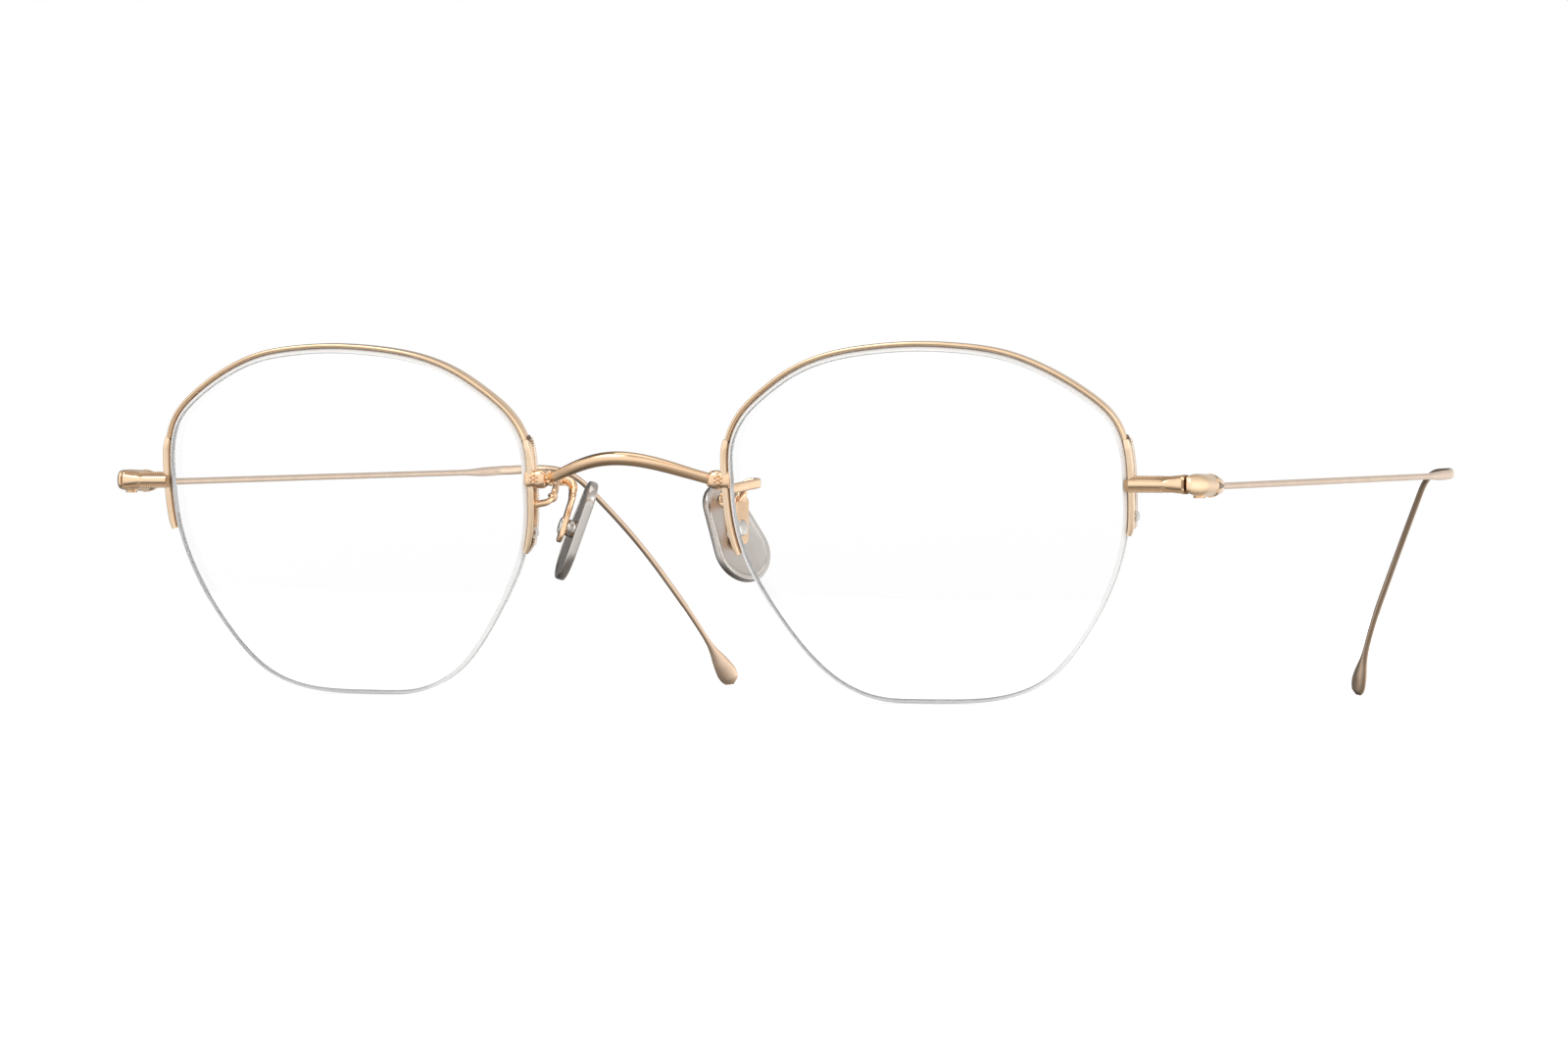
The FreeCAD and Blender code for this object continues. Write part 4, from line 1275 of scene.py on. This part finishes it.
@dataclass
class TempleWire:
    """Slim temple wire, flattened before its ear bend, with a spoon-shaped tip."""

    side: Side
    radius: float = 0.36
    head_length: float = 6.4
    socket: float = 1.0
    legs: tuple[Triple, ...] = (
        (82.4, 1.1, 1.9), (7.4, 1.8, 3.4), (8.2, 41.0, 3.5), (13.8, 37.0, -42.0),
        (12.4, 44.0, -51.5),
    )
    """Runs of the wire: length, angle inward and angle upward, in degrees."""
    drop: tuple[float, float] = (34.5, -54.0)
    tip_length: float = 7.2
    tip_face: Triple = (-0.6, -0.75, -0.2)
    tip_sections: tuple[Triple, ...] = (
        (0.0, 0.37, 0.36), (0.15, 0.42, 0.38), (0.3, 0.62, 0.42), (0.45, 0.9, 0.47),
        (0.6, 1.14, 0.53), (0.75, 1.29, 0.5), (0.86, 1.22, 0.48), (0.94, 0.93, 0.42),
        (0.985, 0.5, 0.3), (1.0, 0.12, 0.1),
    )
    """Share of the tip's length, half width and half thickness."""
    flat_face: Triple = (1.0, -0.15, 0.0)
    flat_start: float = 78.0
    flat_onset: float = 7.0
    flat_end: float = 96.0
    flat_fade: float = 4.0
    flat_width: float = 0.56
    flat_thickness: float = 0.27

    @staticmethod
    def heading(inward: float, upward: float) -> Array:
        """Direction that runs backwards, turned inward and upward by angles in degrees."""
        a, b = math.radians(inward), math.radians(upward)
        return np.array([-math.sin(a) * math.cos(b), math.cos(a) * math.cos(b), math.sin(b)])

    def route(self) -> list[Array]:
        """Corners of the wire from inside the head to its end on the table."""
        start = ORIGIN + HINGE_IN_FRONT + np.array([0, self.head_length, 0])
        points = [start - self.heading(*self.legs[0][1:]) * self.socket]
        position = start
        for length, inward, upward in self.legs:
            position = position + self.heading(inward, upward) * length
            points.append(position)
        along = self.heading(*self.drop)
        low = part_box("left_temple_wire")[0].z / MM
        face = self.facing()
        wide = np.cross(face, along)
        hang = max(math.hypot(w * wide[2], t * face[2]) + along[2] * (1 - s) * self.tip_length
                   for s, w, t in self.tip_sections)
        points.append(position + along * ((low + hang - position[2]) / along[2]))
        return points

    def facing(self) -> Array:
        """Direction that the broad side of the tip faces, square to the drop."""
        along = self.heading(*self.drop)
        face = np.array(self.tip_face)
        return unit(face - along * (face @ along))

    def build(self, finishes: Finishes) -> None:
        """Makes the wire with its tip.

        Args:
            finishes: Materials of the spectacles.
        """
        path = rounded_path(self.route(), 0.45)
        reach = travelled(path)
        tip_start = reach[-1] - self.tip_length
        tip = np.array(self.tip_sections)
        out = np.array(self.flat_face)
        face = self.facing()
        broad, sections = [], []
        for distance in reach:
            share = (distance - tip_start) / self.tip_length
            if share > 0:
                half_wide = float(np.interp(share, tip[:, 0], tip[:, 1]))
                half_thick = float(np.interp(share, tip[:, 0], tip[:, 2]))
            else:
                onset = (distance - self.flat_start) / self.flat_onset
                fade = (self.flat_end - distance) / self.flat_fade
                ease = min(max(onset, 0), max(fade, 0), 1)
                ease = ease * ease * (3 - 2 * ease)
                half_wide = self.radius + (self.flat_width - self.radius) * ease
                half_thick = self.radius + (self.flat_thickness - self.radius) * ease
            turn = min(max((distance - self.flat_end) / (tip_start - self.flat_end), 0), 1)
            broad.append(unit(out * (1 - turn) - face * turn))
            sections.append(superellipse(half_thick, half_wide, 2.1, 24))
        maker = MeshMaker()
        maker.sweep(path, np.array(broad), sections)
        piece = maker.build(self.side.label + "_temple_spoon_wire", self.side,
                            [finishes.temple_gold], crease=60)
        place(piece, self.side.label + "_temple", Slot.GOLD, self.side.label + "_temple_wire")


@dataclass
class PadFrame:
    """Place and axes of a nose pad on the wearer's left."""

    centre: Triple = (9.5, 7.5, -0.35)
    normal_values: Triple = (0.80, -0.50, 0.31)
    long_values: Triple = (0.364, 0.097, -0.925)

    @property
    def normal(self) -> Array:
        """Direction from the pad towards its arm."""
        return unit(self.normal_values)

    @property
    def long_axis(self) -> Array:
        """Direction from the narrow top to the broad bottom."""
        along = unit(self.long_values)
        return unit(along - self.normal * (along @ self.normal))

    def place(self, points: Array, axis: Array | None = None) -> Array:
        """Moves points of length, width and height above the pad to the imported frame.

        Args:
            points: Rows of length, width and height.
            axis: Long axis to use; the pad's own if left out.

        Returns:
            The moved points.
        """
        along = self.long_axis if axis is None else axis
        across = np.cross(self.normal, along)
        basis = np.stack([along, across, self.normal])
        return np.asarray(points) @ basis + np.array(self.centre) + ORIGIN

    def ring(self, flat: Array, height: float, axis: Array | None = None) -> Array:
        """Places a flat outline at one height above the pad.

        Args:
            flat: Rows of length and width.
            height: Height above the middle of the pad.
            axis: Long axis to use; the pad's own if left out.

        Returns:
            The placed points.
        """
        return self.place(np.column_stack([flat, np.full(len(flat), height)]), axis)


@dataclass
class NosePad:
    """Teardrop plate pad with a stepped rim and a boss for the rivet."""

    seat: PadFrame
    side: Side
    length: float = 11.5
    top_radius: float = 2.7
    bottom_radius: float = 3.65
    thickness: float = 1.0
    boss_radius: float = 0.95
    boss_length: float = 0.675
    floor_level: float = 0.4
    profile: tuple[tuple[float, float], ...] = (
        (0.12, 0.4), (0.5, 0.4), (0.79, 0.4), (0.815, 0.415), (0.845, 0.5), (0.94, 0.5),
        (0.975, 0.45), (0.993, 0.34), (1.0, 0.2), (1.0, 0.0), (1.0, -0.2), (0.993, -0.36),
        (0.975, -0.46), (0.94, -0.5), (0.6, -0.52), (0.12, -0.54),
    )
    """Rows of the skin: share of the half width and level over the thickness."""

    def outline(self, count: int = 96) -> Array:
        """Teardrop outline from a small and a large circle and their outer tangents.

        Args:
            count: Number of points.

        Returns:
            Rows of length and width.
        """
        spread = self.length - self.top_radius - self.bottom_radius
        top = -self.length / 2 + self.top_radius
        lean = math.asin((self.bottom_radius - self.top_radius) / spread)
        points = []
        for turn in np.linspace(-math.pi, math.pi, count, endpoint=False):
            low = abs(turn) < math.pi / 2 + lean
            centre = top + spread if low else top
            radius = self.bottom_radius if low else self.top_radius
            points.append((centre + radius * math.cos(turn), radius * math.sin(turn)))
        return np.array(points)

    def build(self, finishes: Finishes) -> None:
        """Makes the pad.

        Args:
            finishes: Materials of the spectacles.
        """
        maker = MeshMaker()
        outline = self.outline()
        lengths = np.linalg.norm(outline, axis=1)[:, None]
        rings = []
        for share, level in self.profile:
            inset = (1 - share) * self.bottom_radius
            flat = outline * np.maximum(0.05, 1 - inset / lengths)
            rings.append(self.seat.ring(flat, level * self.thickness))
        maker.rings(np.array(rings))
        base = self.thickness * self.floor_level
        circle = superellipse(self.boss_radius, self.boss_radius, 2, 28)
        rows = ((1.12, 0.0), (1.0, 0.12), (1.0, self.boss_length * 0.9),
                (0.86, self.boss_length + 0.1))
        maker.rings(np.array([self.seat.ring(circle * wide, base + up) for wide, up in rows]))
        piece = maker.build(self.side.label + "_plate_pad", self.side, [finishes.titanium],
                            crease=35)
        place(piece, self.side.label + "_pad", Slot.PAD, self.side.label + "_nose_pad")


@dataclass
class PadArm:
    """Flat strip from the nasal plate, looped back and down to a rounded paddle."""

    seat: PadFrame
    side: Side
    route: tuple[Triple, ...] = (
        (11.6, 1.3, 2.4), (10.05, 1.75, 2.7), (10.2, 3.6, 4.2), (12.55, 8.45, 5.15),
        (10.25, 8.45, 5.05),
    )
    broad: tuple[Triple, ...] = (
        (0.0, 1.0, 0.3), (0.0, 1.0, 0.3), (0.0, 0.3, 1.0), (0.0, 0.0, 1.0), (-0.7, 0.0, 0.7),
        (-0.57, -0.785, 0.2),
    )
    paddle_axis: Triple = (0.167, -0.36, -0.917)
    paddle_level: float = 1.225
    paddle_thickness: float = 0.55
    paddle_width: float = 1.8
    paddle_up: float = 4.0
    paddle_down: float = 1.9
    paddle_shrink: float = 0.6
    paddle_rows: tuple[tuple[float, float], ...] = (
        (0.3, 0.0), (0.9, 0.0), (0.97, 0.03), (1.0, 0.12), (1.0, 0.43), (0.97, 0.52),
        (0.9, 0.55), (0.3, 0.55),
    )
    neck_reach: float = 0.9
    strip_width: float = 1.05
    strip_thickness: float = 0.68
    root_radius: float = 0.42
    root_shift: Triple = (-0.1, 0.0, 0.0)
    root_axis: Triple = (-1.0, 0.1, 0.2)

    def axis(self) -> Array:
        """Long axis of the paddle, square to the pad's normal."""
        along = unit(self.paddle_axis)
        normal = self.seat.normal
        return unit(along - normal * (along @ normal))

    def build(self, finishes: Finishes) -> None:
        """Makes the arm.

        Args:
            finishes: Materials of the spectacles.
        """
        maker = MeshMaker()
        level = self.paddle_level + self.paddle_thickness / 2
        neck = self.seat.place(np.array([[self.neck_reach - self.paddle_up, 0, level]]),
                               self.axis())[0]
        corners = [np.array(p) + ORIGIN for p in self.route] + [neck]
        path = rounded_path(corners, 0.12)
        reach = travelled(path)
        keys = [reach[int(np.linalg.norm(path - corner, axis=1).argmin())] for corner in corners]
        keys[0], keys[-1] = 0.0, reach[-1]
        turns = np.array(self.broad)
        broad = np.stack([np.interp(reach, keys, turns[:, i]) for i in range(3)], -1)
        maker.sweep(path, broad,
                    superellipse(self.strip_width / 2, self.strip_thickness / 2, 4.0, 24))
        maker.bead(corners[0] + self.root_shift, np.array(self.root_axis), self.root_radius,
                   0.9, 14)
        self.paddle(maker)
        # The arm takes the darker copy of the gold with painted shade.
        piece = maker.build(self.side.label + "_strip_arm", self.side, [finishes.bridge_gold],
                            crease=50)
        place(piece, "front", Slot.GOLD, self.side.label + "_pad_arm")

    def paddle(self, maker: MeshMaker) -> None:
        """Adds the paddle with rounded ends and edges.

        Args:
            maker: Collector of the mesh.
        """
        half = self.paddle_width / 2
        turn = around(48)
        along = np.cos(turn) * half + np.where(np.cos(turn) > 0, self.paddle_down - half,
                                               half - self.paddle_up)
        across = np.sin(turn) * half
        middle = (self.paddle_down - self.paddle_up) / 2
        rings = []
        for share, up in self.paddle_rows:
            kept = 1 - (1 - share) * self.paddle_shrink
            flat = np.column_stack([middle + (along - middle) * kept, across * share])
            rings.append(self.seat.ring(flat, self.paddle_level + up, self.axis()))
        maker.rings(np.array(rings))


@dataclass
class PadRivet:
    """Oval domed rivet head on the paddle."""

    seat: PadFrame
    side: Side
    half_long: float = 0.95
    half_wide: float = 0.66
    level: float = 1.72
    rows: tuple[tuple[float, float], ...] = (
        (0.9, -0.9), (0.9, 0.0), (1.0, 0.02), (1.0, 0.16), (0.95, 0.24), (0.8, 0.31),
        (0.5, 0.36), (0.1, 0.38),
    )

    def build(self, finishes: Finishes) -> None:
        """Makes the rivet.

        Args:
            finishes: Materials of the spectacles.
        """
        maker = MeshMaker()
        axis = PadArm(self.seat, self.side).axis()
        oval = superellipse(self.half_long, self.half_wide, 2.0, 32)
        maker.rings(np.array([self.seat.ring(oval * share, self.level + up, axis)
                              for share, up in self.rows]))
        piece = maker.build(self.side.label + "_oval_rivet", self.side, [finishes.rivet], crease=50)
        place(piece, self.side.label + "_pad", Slot.PAD, self.side.label + "_pad_rivet")


@dataclass
class KeptParts:
    """CAD pieces whose own shape is shown, with the finish of each."""

    looks: tuple[tuple[str, str], ...] = (
        # The end pieces take the dark copy of the gold with painted shade.
        ("end_piece", "recess"), ("hinge_screw", "screw"), ("rim_liner", "nylon"),
    )

    def build(self, finishes: Finishes) -> None:
        """Gives every kept CAD node its material.

        Args:
            finishes: Materials of the spectacles.
        """
        for side in Side:
            for name, finish in self.looks:
                material = getattr(finishes, finish)
                node = frame["nodes"][f"{side.label}_{name}"]
                node.data.materials.clear()
                node.data.materials.append(material)
                LOG.info("finish %s on %s", material.name, node.name)


# Studio

@dataclass
class Studio:
    """Pale floor, white surroundings, soft lamps and the camera."""

    floor_size: float = 12.0
    camera_place: Triple = (312.764, -702.475, -7.331)
    camera_yaw: float = 22.7436
    camera_pitch: float = -0.5931
    camera_roll: float = 0.65
    focal_length: float = 163.38
    sensor: float = 36.0
    ambient: float = 0.75
    front_zone: tuple[Triple, ...] = (
        (-1.0, 0.25, 0.15), (-0.72, 0.28, 0.12), (-0.5, 0.55, 0.06), (-0.32, 0.9, 0.02),
        (-0.08, 1.1, 0.0), (0.25, 1.2, 0.0), (0.52, 1.15, 0.0), (0.72, 0.75, 0.04),
        (0.88, 0.5, 0.1), (1.0, 0.5, 0.1),
    )
    """Brightness and warmth over the height of a direction, from -1 to 1."""
    back_zone: tuple[Triple, ...] = (
        (-1.0, 0.28, 0.12), (-0.5, 0.5, 0.08), (-0.25, 0.85, 0.03), (-0.05, 1.05, 0.0),
        (0.08, 1.0, 0.0), (0.28, 0.74, 0.03), (0.6, 0.6, 0.08), (1.0, 0.5, 0.1),
    )
    side_zone: tuple[Triple, ...] = (
        (-1.0, 0.18, 0.0), (-0.6, 0.2, 0.0), (-0.12, 1.0, 0.0), (0.42, 1.0, 0.0),
        (0.75, 1.35, 0.0), (1.0, 1.35, 0.0),
    )
    back_from: float = 0.25
    front_from: float = -0.45
    floor_near: float = 0.25
    floor_far: float = 0.9
    floor_glow: float = 0.24
    lamps: tuple[tuple[str, tuple, tuple, float], ...] = (
        ("key", (-0.6, -0.7, 0.8), (0.8, 0.6), 3.2),
        ("fill", (0.85, -0.45, 0.4), (0.4, 0.5), 0.9),
        ("top", (0.0, -0.1, 1.1), (1.0, 0.7), 2.2),
    )
    """Name, place in metres, width and height in metres, and power in watts."""
    lamp_target: Triple = (0.0, 0.0, 0.02)

    def camera(self) -> None:
        """Adds the camera."""
        yaw, pitch, roll = (math.radians(angle) for angle in (
            self.camera_yaw, self.camera_pitch, self.camera_roll))
        look = Vector((-math.sin(yaw) * math.cos(pitch), math.cos(yaw) * math.cos(pitch),
                       -math.sin(pitch)))
        right = look.cross(Vector((0, 0, 1))).normalized()
        up = right.cross(look)
        tilted = right * math.cos(roll) + up * math.sin(roll)
        above = tilted.cross(look)
        data = bpy.data.cameras.new("camera")
        data.sensor_width = self.sensor
        data.lens = self.focal_length
        data.clip_start, data.clip_end = 0.01, 50.0
        camera = bpy.data.objects.new("camera", data)
        position = Vector((np.array(self.camera_place) + ORIGIN) * MM)
        camera.matrix_world = Matrix((
            (tilted.x, above.x, -look.x, position.x),
            (tilted.y, above.y, -look.y, position.y),
            (tilted.z, above.z, -look.z, position.z),
            (0, 0, 0, 1)))
        bpy.context.scene.collection.objects.link(camera)
        bpy.context.scene.camera = camera

    def lamp(self, name: str, place_m: Sequence[float], size: tuple[float, float],
             power: float) -> None:
        """Adds a rectangular soft lamp that faces the spectacles.

        Args:
            name: Name of the lamp.
            place_m: Its place in metres.
            size: Width and height in metres.
            power: Power in watts.
        """
        data = bpy.data.lights.new(name, "AREA")
        data.shape = "RECTANGLE"
        data.size, data.size_y = size
        data.energy = power
        lamp = bpy.data.objects.new(name, data)
        lamp.location = place_m
        aim = Vector(self.lamp_target) - Vector(place_m)
        lamp.rotation_euler = aim.to_track_quat("-Z", "Y").to_euler()
        bpy.context.scene.collection.objects.link(lamp)

    @staticmethod
    def seen_plainly(tree: Tree, path: bpy.types.Node) -> Socket:
        """One for camera rays and for rays through the lenses, otherwise zero.

        Args:
            tree: Node tree to add to.
            path: Its Light Path node.

        Returns:
            The socket with the value.
        """
        node = tree.nodes.new("ShaderNodeMath")
        node.operation = "MAXIMUM"
        tree.links.new(path.outputs["Is Camera Ray"], node.inputs[0])
        tree.links.new(path.outputs["Is Transmission Ray"], node.inputs[1])
        return node.outputs[0]

    @staticmethod
    def mixed(tree: Tree, factor: Socket,
              first: Socket | Sequence[float],
              second: Socket | Sequence[float]) -> Socket:
        """Mix of two colours.

        Args:
            tree: Node tree to add to.
            factor: Share of the second colour.
            first: Socket or plain colour shown where the factor is 0.
            second: Socket or plain colour shown where the factor is 1.

        Returns:
            The socket with the colour.
        """
        node = tree.nodes.new("ShaderNodeMix")
        node.data_type = "RGBA"
        tree.links.new(factor, node.inputs["Factor"])
        for name, colour in (("A", first), ("B", second)):
            if isinstance(colour, Socket):
                tree.links.new(colour, node.inputs[name])
            else:
                node.inputs[name].default_value = colour
        return node.outputs["Result"]

    @staticmethod
    def eased(tree: Tree, value: Socket, start: float, end: float,
              lowest: float = 0.0) -> Socket:
        """Smooth rise to 1 as a value goes from a start to an end.

        Args:
            tree: Node tree to add to.
            value: Socket with the value.
            start: Value where the rise starts.
            end: Value where it ends.
            lowest: Result at the start.

        Returns:
            The socket with the result.
        """
        node = tree.nodes.new("ShaderNodeMapRange")
        node.interpolation_type = "SMOOTHSTEP"
        node.inputs["From Min"].default_value = start
        node.inputs["From Max"].default_value = end
        node.inputs["To Min"].default_value = lowest
        tree.links.new(value, node.inputs["Value"])
        return node.outputs["Result"]

    @staticmethod
    def layered(tree: Tree, factor: Socket,
                first: Socket, second: Socket) -> Socket:
        """Mix of two shaders.

        Args:
            tree: Node tree to add to.
            factor: Share of the second shader.
            first: Shader shown where the factor is 0.
            second: Shader shown where the factor is 1.

        Returns:
            The socket with the shader.
        """
        node = tree.nodes.new("ShaderNodeMixShader")
        for source, target in zip((factor, first, second), node.inputs):
            tree.links.new(source, target)
        return node.outputs["Shader"]

    def surroundings(self) -> None:
        """Makes a white world that metal sees with softer and darker zones."""
        world = bpy.data.worlds.new("studio")
        world.use_nodes = True
        tree = world.node_tree
        tree.nodes.clear()
        output = tree.nodes.new("ShaderNodeOutputWorld")
        background = tree.nodes.new("ShaderNodeBackground")
        tree.links.new(background.outputs["Background"], output.inputs["Surface"])
        coords = tree.nodes.new("ShaderNodeTexCoord")
        split = tree.nodes.new("ShaderNodeSeparateXYZ")
        tree.links.new(coords.outputs["Generated"], split.inputs["Vector"])
        front, back, sides = (self.zone(tree, split.outputs[axis], stops) for axis, stops in (
            ("Z", self.front_zone), ("Z", self.back_zone), ("X", self.side_zone)))
        graded = tree.nodes.new("ShaderNodeVectorMath")
        graded.operation = "MULTIPLY"
        tree.links.new(back, graded.inputs[0])
        tree.links.new(sides, graded.inputs[1])
        facing = self.eased(tree, split.outputs["Y"], self.back_from, self.front_from)
        studio = self.mixed(tree, facing, graded.outputs["Vector"], front)
        path = tree.nodes.new("ShaderNodeLightPath")
        plain = self.mixed(tree, path.outputs["Is Glossy Ray"], (*[self.ambient] * 3, 1), studio)
        shown = self.mixed(tree, self.seen_plainly(tree, path), plain, (1, 1, 1, 1))
        tree.links.new(shown, background.inputs["Color"])
        bpy.context.scene.world = world

    @staticmethod
    def zone(tree: Tree, part: Socket,
             stops: Sequence[Triple]) -> Socket:
        """Brightness of the studio over one part of the direction.

        Args:
            tree: Node tree of the world.
            part: Socket with the part of the direction along one axis, from -1 to 1.
            stops: Values of that part with a brightness and a warmth.

        Returns:
            The socket with the colour.
        """
        node = tree.nodes.new("ShaderNodeValToRGB")
        ramp = node.color_ramp
        while len(ramp.elements) < len(stops):
            ramp.elements.new(0.5)
        for element, (position, bright, warmth) in zip(ramp.elements, stops):
            element.position = (position + 1) / 2
            element.color = (bright, bright * (1 - 0.5 * warmth), bright * (1 - warmth), 1)
        share = tree.nodes.new("ShaderNodeMapRange")
        share.inputs["From Min"].default_value = -1.0
        tree.links.new(part, share.inputs["Value"])
        tree.links.new(share.outputs["Result"], node.inputs["Fac"])
        return node.outputs["Color"]

    def floor(self) -> None:
        """Adds the pale floor, which keeps the object's shadow."""
        half = self.floor_size / 2
        mesh = bpy.data.meshes.new("floor")
        mesh.from_pydata([(-half, -half, 0), (half, -half, 0), (half, half, 0), (-half, half, 0)],
                         [], [(0, 1, 2, 3)])
        shader = Shader("pale_floor")
        surface, tree = shader.surface, shader.tree
        grain = shader.noise(40.0, 2.0)
        shader.link(shader.tones(grain, (0.90, 0.90, 0.90), (0.92, 0.92, 0.92)),
                    surface.inputs["Base Color"])
        surface.inputs["Roughness"].default_value = 0.9
        surface.inputs["Specular IOR Level"].default_value = 0.0
        path = tree.nodes.new("ShaderNodeLightPath")
        distance = tree.nodes.new("ShaderNodeVectorMath")
        distance.operation = "LENGTH"
        shader.link(shader.coords.outputs["Object"], distance.inputs[0])
        glow = tree.nodes.new("ShaderNodeEmission")
        shader.link(self.eased(tree, distance.outputs["Value"], self.floor_near, self.floor_far,
                               self.floor_glow), glow.inputs["Strength"])
        lit = tree.nodes.new("ShaderNodeAddShader")
        shader.link(surface.outputs["BSDF"], lit.inputs[0])
        shader.link(glow.outputs["Emission"], lit.inputs[1])
        unseen = tree.nodes.new("ShaderNodeBsdfTransparent")
        hidden = self.layered(tree, path.outputs["Is Glossy Ray"], surface.outputs["BSDF"],
                              unseen.outputs["BSDF"])
        last = self.layered(tree, self.seen_plainly(tree, path), hidden, lit.outputs["Shader"])
        shader.link(last, shader.output.inputs["Surface"])
        mesh.materials.append(shader.material)
        floor = bpy.data.objects.new("floor", mesh)
        bpy.context.scene.collection.objects.link(floor)

    def build(self) -> None:
        """Makes the whole studio."""
        self.camera()
        self.surroundings()
        self.floor()
        for lamp in self.lamps:
            self.lamp(*lamp)
        bpy.context.scene.view_settings.view_transform = "Standard"


def main() -> None:
    """Builds the spectacles and the studio in order."""
    logging.basicConfig(level=logging.INFO, format="%(name)s: %(message)s")
    Studio().build()
    finishes = Finishes.build()
    shape, sizes = LensShape(), RimSizes()
    KeptParts().build(finishes)
    Bridge(shape).build(finishes)
    for side in Side:
        Lens(shape, side).build(finishes)
        LensCord(shape, sizes, side).build(finishes)
        UpperRim(shape, sizes, side).build(finishes)
        for kind in PlateKind:
            SidePlate(shape, sizes, side, kind).build(finishes)
        EndTrim(side).build(finishes)
        TempleHead(side).build(finishes)
        TempleWire(side).build(finishes)
        PadArm(PadFrame(), side).build(finishes)
        PadRivet(PadFrame(), side).build(finishes)
        NosePad(PadFrame(), side).build(finishes)


if __name__ == "__main__":
    main()
